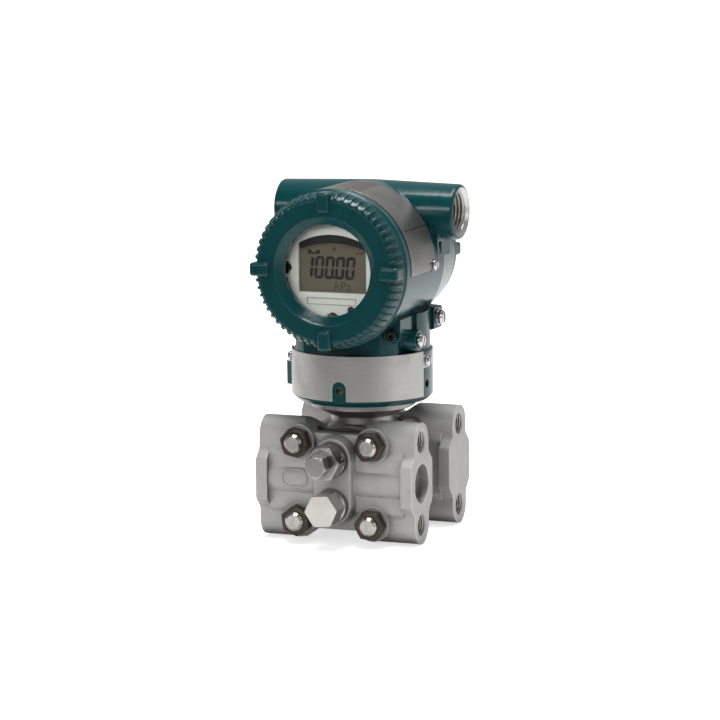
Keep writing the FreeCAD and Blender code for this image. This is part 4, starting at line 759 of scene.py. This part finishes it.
seal_rubber = plastic("black_seal_rubber", (0.012, 0.012, 0.012, 1), (0.03, 0.03, 0.03, 1), 0.5)
dress(seal_rubber, "display_cover_seal", "terminal_cover_seal", "neck_oring")
gasket_white = plastic("white_gasket", (0.78, 0.78, 0.75, 1), (0.88, 0.88, 0.86, 1), 0.45)
dress(gasket_white, "front_capsule_gasket", "rear_capsule_gasket")

# ---- Window ---------------------------------------------------------------
# A disc of toughened glass is cemented into the display cover and backed by a
# black anodised ring screwed in behind it.
clear_glass, tree, shader = new_finish("clear_window_glass")
fill(tree, shader, {"Base Color": (0.97, 1.0, 0.99, 1), "Transmission Weight": 1.0, "Roughness": 0.0,
                    "IOR": 1.45, "Metallic": 0.0})
# The lamps shine straight through the glass.
lamp_ray = shader_node(tree, "ShaderNodeLightPath").outputs["Is Shadow Ray"]
open_way = shader_node(tree, "ShaderNodeBsdfTransparent").outputs[0]
pane = shader_node(tree, "ShaderNodeMixShader", {0: lamp_ray, 1: shader.outputs[0], 2: open_way})
fill(tree, tree.nodes["Material Output"], {"Surface": pane.outputs[0]})
dress(clear_glass, "window_glass")
ring_black = plastic("black_ring", (0.02, 0.02, 0.02, 1), (0.04, 0.04, 0.04, 1), 0.35)
dress(ring_black, "glass_retainer")

# ---- Display --------------------------------------------------------------
# The display unit is a cream moulded cover over a liquid crystal cell. The
# cell's segments are near-black on a warm grey-brown polariser.
CREAM_GRAIN = 1300.0
CREAM_DEPTH = 0.00003
SEGMENT_GRAIN = 3000.0
SEGMENT_DEPTH = 0.000005
cream = plastic("cream_bezel", (0.80, 0.80, 0.73, 1), (0.88, 0.88, 0.81, 1), 0.5, CREAM_GRAIN, CREAM_DEPTH)
dress(cream, "display_bezel")
cell = plastic("display_polariser", (0.135, 0.112, 0.078, 1), (0.155, 0.13, 0.092, 1), 0.22, 2000.0, 0.00001)
dress(cell, "display_glass")
dark_segment = plastic("dark_segment", (0.004, 0.0035, 0.003, 1), (0.008, 0.007, 0.006, 1), 0.3,
                       SEGMENT_GRAIN, SEGMENT_DEPTH)
faint_segment = plastic("faint_segment", (0.070, 0.057, 0.040, 1), (0.085, 0.070, 0.050, 1), 0.25,
                        SEGMENT_GRAIN, SEGMENT_DEPTH)

CELL_FRONT = -0.0364
PRINT = 0.00005
SLANT = 0.107
DIGIT_Z = 0.1357


def printed(shape):
    """Give a flat mark on the cell its thickness."""
    edit_all()
    bpy.ops.mesh.extrude_region_move(TRANSFORM_OT_translate={"value": (0, -PRINT, 0)})
    bpy.ops.object.mode_set(mode="OBJECT")
    face_outwards()
    return shape


def bar(length, width):
    """An upright printed bar with pointed ends."""
    bpy.ops.object.select_all(action="DESELECT")
    reach = width / 2 / math.cos(math.radians(30))
    bpy.ops.mesh.primitive_circle_add(vertices=6, radius=reach, fill_type="NGON", rotation=STANDING)
    shape = bpy.context.object
    place_in_mesh()
    pull_apart(shape, 2, 0.0, length / 2 - reach)
    return printed(shape)


def oblong(width, height, place=(0.0, 0.0, 0.0)):
    """A flat oblong that faces the front."""
    bpy.ops.object.select_all(action="DESELECT")
    bpy.ops.mesh.primitive_plane_add(size=1.0, location=place, rotation=STANDING)
    shape = bpy.context.object
    shape.scale = (width, height, 1.0)
    place_in_mesh()
    return shape


def joined(pieces):
    """Several pieces made one."""
    bpy.ops.object.select_all(action="DESELECT")
    for piece in pieces:
        piece.select_set(True)
    bpy.context.view_layer.objects.active = pieces[0]
    place_in_mesh()
    bpy.ops.object.join()
    return bpy.context.object


def slanted(x, lift):
    """A place in the reading, lift above its middle, leaned over as the digits are."""
    return (x + SLANT * lift, CELL_FRONT, DIGIT_Z + lift)


# The reading: a one and four noughts of slanted strokes with a point, and a
# small block symbol above their left end.
ONE_X = -0.0112
NOUGHTS_X = (-0.0073, -0.0019, 0.0035, 0.0089)
STROKE_OUT = 0.00165
STROKE_LIFT = 0.00255
CAP_LIFT = 0.00485
POINT_X = 0.0009
POINT_LIFT = -0.0048
BLOCKS_X = (-0.0123, -0.0079)
BLOCKS_Z = 0.1432
LINK_Z = 0.1426
LEANING = (0.0, math.atan(SLANT), 0.0)
LYING = (0.0, math.radians(90), 0.0)

stroke = bar(length=0.0045, width=0.00140)
cap = bar(length=0.0039, width=0.00135)
point = bar(length=0.0013, width=0.0012)
block = printed(oblong(width=0.0019, height=0.0020))
link = printed(oblong(width=0.0030, height=0.0008))
segments = []
for x in [ONE_X] + [nought + side * STROKE_OUT for nought in NOUGHTS_X for side in (-1, 1)]:
    for lift in (-STROKE_LIFT, STROKE_LIFT):
        segments.append(copied(stroke, slanted(x, lift), LEANING))
for x in NOUGHTS_X:
    for lift in (-CAP_LIFT, CAP_LIFT):
        segments.append(copied(cap, slanted(x, lift), LYING))
segments.append(copied(point, slanted(POINT_X, POINT_LIFT)))
for x in BLOCKS_X:
    segments.append(copied(block, (x, CELL_FRONT, BLOCKS_Z)))
segments.append(copied(link, (sum(BLOCKS_X) / 2, CELL_FRONT, LINK_Z)))
finish_piece(joined(segments), "display_digits", "head", dark_segment)

# The dark arch above the reading: the bar scale, and painted shadow of the bezel's arched edge.
ARCH_Z = 0.1027
ARCH_IN = 0.0450
ARCH_OUT = 0.0494
ARCH_SPREAD = math.radians(22.0)
band = ARCH_OUT - ARCH_IN

bpy.ops.object.select_all(action="DESELECT")
bpy.ops.mesh.primitive_plane_add(size=band, location=(0, band / 2, ARCH_IN + band / 2),
                                 rotation=(0, math.radians(90), 0))
arch = bpy.context.object
place_in_mesh()
pick(arch, lambda place: place.y > NEAR)
bpy.ops.mesh.delete(type="VERT")
bpy.ops.object.mode_set(mode="OBJECT")
arch.location = (0, CELL_FRONT - PRINT / 2, ARCH_Z)
arch.rotation_euler = (0, ARCH_SPREAD, 0)
place_in_mesh()
edit_all()
bpy.ops.mesh.spin(steps=36, angle=2 * ARCH_SPREAD, center=(0, CELL_FRONT, ARCH_Z), axis=(0, 1, 0))
bpy.ops.object.mode_set(mode="OBJECT")
shaped_by(arch, "SOLIDIFY", thickness=PRINT, offset=0.0)
face_outwards()
finish_piece(arch, "bar_scale_and_shadow_arch", "head", dark_segment)

# The short ticks under the arch, two faint marks and the unit.
TICK_R = 0.0442
TICK_STEP = math.radians(1.4)
TICKS_EACH_SIDE = 15
MARK_PLACE = (0.0005, CELL_FRONT, 0.1450)
LONG_MARK_PLACE = (0.0139, CELL_FRONT, 0.1431)
UNIT_PLACE = (0.0002, CELL_FRONT, 0.1248)
UNIT_SIZE = 0.0062

tick = bar(length=0.0010, width=0.00032)
mark = printed(oblong(width=0.0014, height=0.0016))
long_mark = printed(oblong(width=0.0036, height=0.0009))
ticks = []
for count in range(-TICKS_EACH_SIDE, TICKS_EACH_SIDE + 1):
    turn = TICK_STEP * count
    place = (math.sin(turn) * TICK_R, CELL_FRONT, ARCH_Z + math.cos(turn) * TICK_R)
    ticks.append(copied(tick, place, (0, turn, 0)))
ticks.append(copied(mark, MARK_PLACE))
ticks.append(copied(long_mark, LONG_MARK_PLACE))
bpy.ops.object.select_all(action="DESELECT")
bpy.ops.object.text_add(location=UNIT_PLACE, rotation=STANDING)
unit = bpy.context.object
unit.data.body = "kPa"
unit.data.size = UNIT_SIZE
unit.data.shear = 0.12
unit.data.extrude = PRINT
bpy.ops.object.convert(target="MESH")
ticks.append(bpy.context.object)
finish_piece(joined(ticks), "bar_scale_and_unit", "head", faint_segment)
for spare in (stroke, cap, point, block, link, tick, mark, long_mark):
    bpy.data.objects.remove(spare)

# A thin frame stands round the blank field below the cell. Its grey is painted shade along the field's edge.
BEZEL_FRONT = -0.0380
FRAME_PROUD = 0.00005
FRAME_X = -0.0005
FRAME_Z = 0.1195
FRAME_LINE = 0.00030
FRAME_THICK = 0.00040
FRAME_SOFT = 0.00006

blank_frame = oblong(width=0.0256, height=0.0034, place=(FRAME_X, BEZEL_FRONT - FRAME_PROUD, FRAME_Z))
keep_rim(FRAME_LINE)
shaped_by(blank_frame, "SOLIDIFY", thickness=FRAME_THICK, offset=0.0)
shaped_by(blank_frame, "BEVEL", width=FRAME_SOFT, segments=2)
face_outwards()
frame_shade = plastic("frame_shade", (0.36, 0.36, 0.32, 1), (0.44, 0.44, 0.40, 1), 0.5,
                      CREAM_GRAIN, CREAM_DEPTH)
finish_piece(blank_frame, "blank_field_frame", "head", frame_shade)

# ---- Boards and terminals -------------------------------------------------
# Circuit boards of green laminate stand behind the display, in the amplifier
# case and on the capsule. Case, terminal block and range button are moulded,
# and the terminal screws are nickel plated.
board = plastic("green_board", (0.01, 0.08, 0.03, 1), (0.02, 0.13, 0.05, 1), 0.3)
dress(board, "display_board", "amplifier_board", "sensor_board")
button_black = plastic("black_button", (0.01, 0.01, 0.012, 1), (0.03, 0.03, 0.034, 1), 0.45)
dress(button_black, "range_button")
case_grey = plastic("grey_case", (0.07, 0.07, 0.08, 1), (0.11, 0.11, 0.12, 1), 0.5)
dress(case_grey, "amplifier_case", "terminal_block")
nickel = turned_finish("nickel_terminal", (0.45, 0.42, 0.36, 1), (0.65, 0.62, 0.55, 1), 0.3,
                       (0.0, 0.0, AXIS_Z), ALONG_Y)
dress(nickel, "terminal_screws")
